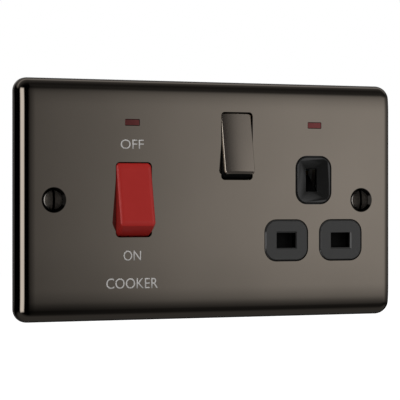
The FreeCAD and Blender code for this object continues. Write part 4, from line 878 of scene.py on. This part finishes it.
overhead = [(-180, 0), (-150, 0.03), (-131, 0.055), (-116, 0.1), (-102, 0.115), (-91, 0.115), (-80, 0.12),
            (-71, 0.11), (-60, 0.06), (-42, 0), (42, 0), (60, 0.01), (71, 0.027), (80, 0.06), (91, 0.1),
            (102, 0.17), (109, 0.35), (116, 0.6), (123, 0.36), (131, 0.21), (145, 0.19), (165, 0.1), (178, 0)]
softBox = {"azimuth": -50, "half": 26, "halfFull": 11.7, "tall": 40, "tallFull": 24, "strength": 2.4}
floor = {"z": -0.085, "radius": 1.4, "glow": 1.2, "paint": 0.2, "grey": 0.5}
lamps = {
    "key": {"spot": (-0.5, -0.9, 0.7), "size": (0.5, 0.5), "power": 7},
    "side": {"spot": (0.9, -0.6, 0.2), "size": (0.4, 0.8), "power": 3},
    "rear": {"spot": (0.3, 0.9, 0.6), "size": (0.6, 0.6), "power": 6},
}
camera = {"spot": (-0.2630, -0.6263, 0), "turn": -22.78, "lens": 167.4, "shiftX": -0.0149}


def makeWorld():
    world = bpy.data.worlds.new("studio")
    bpy.context.scene.world = world
    shader = Shader(world)
    x, y, z = shader.parts(shader.add("ShaderNodeTexCoord", output="Generated"))
    front = 0 - y
    azimuth = x.math("ARCTAN2", front) / math.radians(1)
    height = z.math("ARCSINE") / math.radians(1)
    pitch = z.math("ARCTAN2", front) / math.radians(1)
    steep = shader.step(z.math("ABSOLUTE"), studio["steepFrom"], studio["steepTo"])
    beside = (azimuth - softBox["azimuth"]).math("ABSOLUTE")
    box = (shader.step(beside, softBox["half"], softBox["halfFull"])
           * shader.step(height.math("ABSOLUTE"), softBox["tall"], softBox["tallFull"]))
    room = (shader.curve(azimuth, sweep) * shader.curve(height, rise) + box * softBox["strength"]
            + shader.curve(pitch, overhead) * steep)
    shine = shader.add("ShaderNodeLightPath", output="Is Glossy Ray")
    eye = shader.add("ShaderNodeLightPath", output="Is Camera Ray")
    fill = shader.step(z, studio["fillFrom"], studio["fillTo"], studio["low"], studio["fill"])
    level = fill + (room - fill) * shine
    level = level + (1 - level) * eye
    glow = shader.add("ShaderNodeBackground", {}, {"Color": rgba((1, 1, 1)), "Strength": level})
    shader.add("ShaderNodeOutputWorld", {}, {"Surface": glow})


def makeFloor():  # pale to the eye, and left out of what the metal mirrors
    bpy.ops.mesh.primitive_circle_add(vertices=64, radius=floor["radius"], fill_type="NGON",
                                      location=(0, 0, floor["z"]))
    ground = settled(named("floor"))
    material, shader = blank("floor_paint")
    eye = shader.add("ShaderNodeLightPath", output="Is Camera Ray")
    level = studio["low"] + (floor["glow"] - studio["low"]) * eye
    glow = shader.add("ShaderNodeEmission", {}, {"Color": rgba((1, 1, 1)), "Strength": level})
    paint = shader.add("ShaderNodeBsdfDiffuse", {}, {"Color": rgba((floor["grey"],) * 3)})
    surface = shader.add("ShaderNodeMixShader", {}, {0: floor["paint"] * eye, 1: glow, 2: paint})
    shader.add("ShaderNodeOutputMaterial", {}, {"Surface": surface})
    ground.data.materials.append(material)
    ground.visible_glossy = False


def makeLamp(name, spot, size, power):  # it faces the middle of the plate
    bpy.ops.object.light_add(type="AREA", location=spot)
    lamp = bpy.context.object
    lamp.name = name
    lamp.data.shape = "RECTANGLE"
    lamp.data.size, lamp.data.size_y = size
    lamp.data.energy = power
    lamp.rotation_euler = (-Vector(spot)).to_track_quat("-Z", "Y").to_euler()
    lamp.visible_glossy = False


def makeCamera():
    turn = (math.pi / 2, 0, math.radians(camera["turn"]))
    bpy.ops.object.camera_add(location=camera["spot"], rotation=turn)
    eye = bpy.context.object
    eye.data.lens = camera["lens"]
    eye.data.shift_x = camera["shiftX"]
    bpy.context.scene.camera = eye
    bpy.context.scene.view_settings.view_transform = "Standard"


makeWorld()
makeFloor()
for name, lamp in lamps.items():
    makeLamp(name, **lamp)
makeCamera()
print("studio set")

bpy.context.view_layer.update()
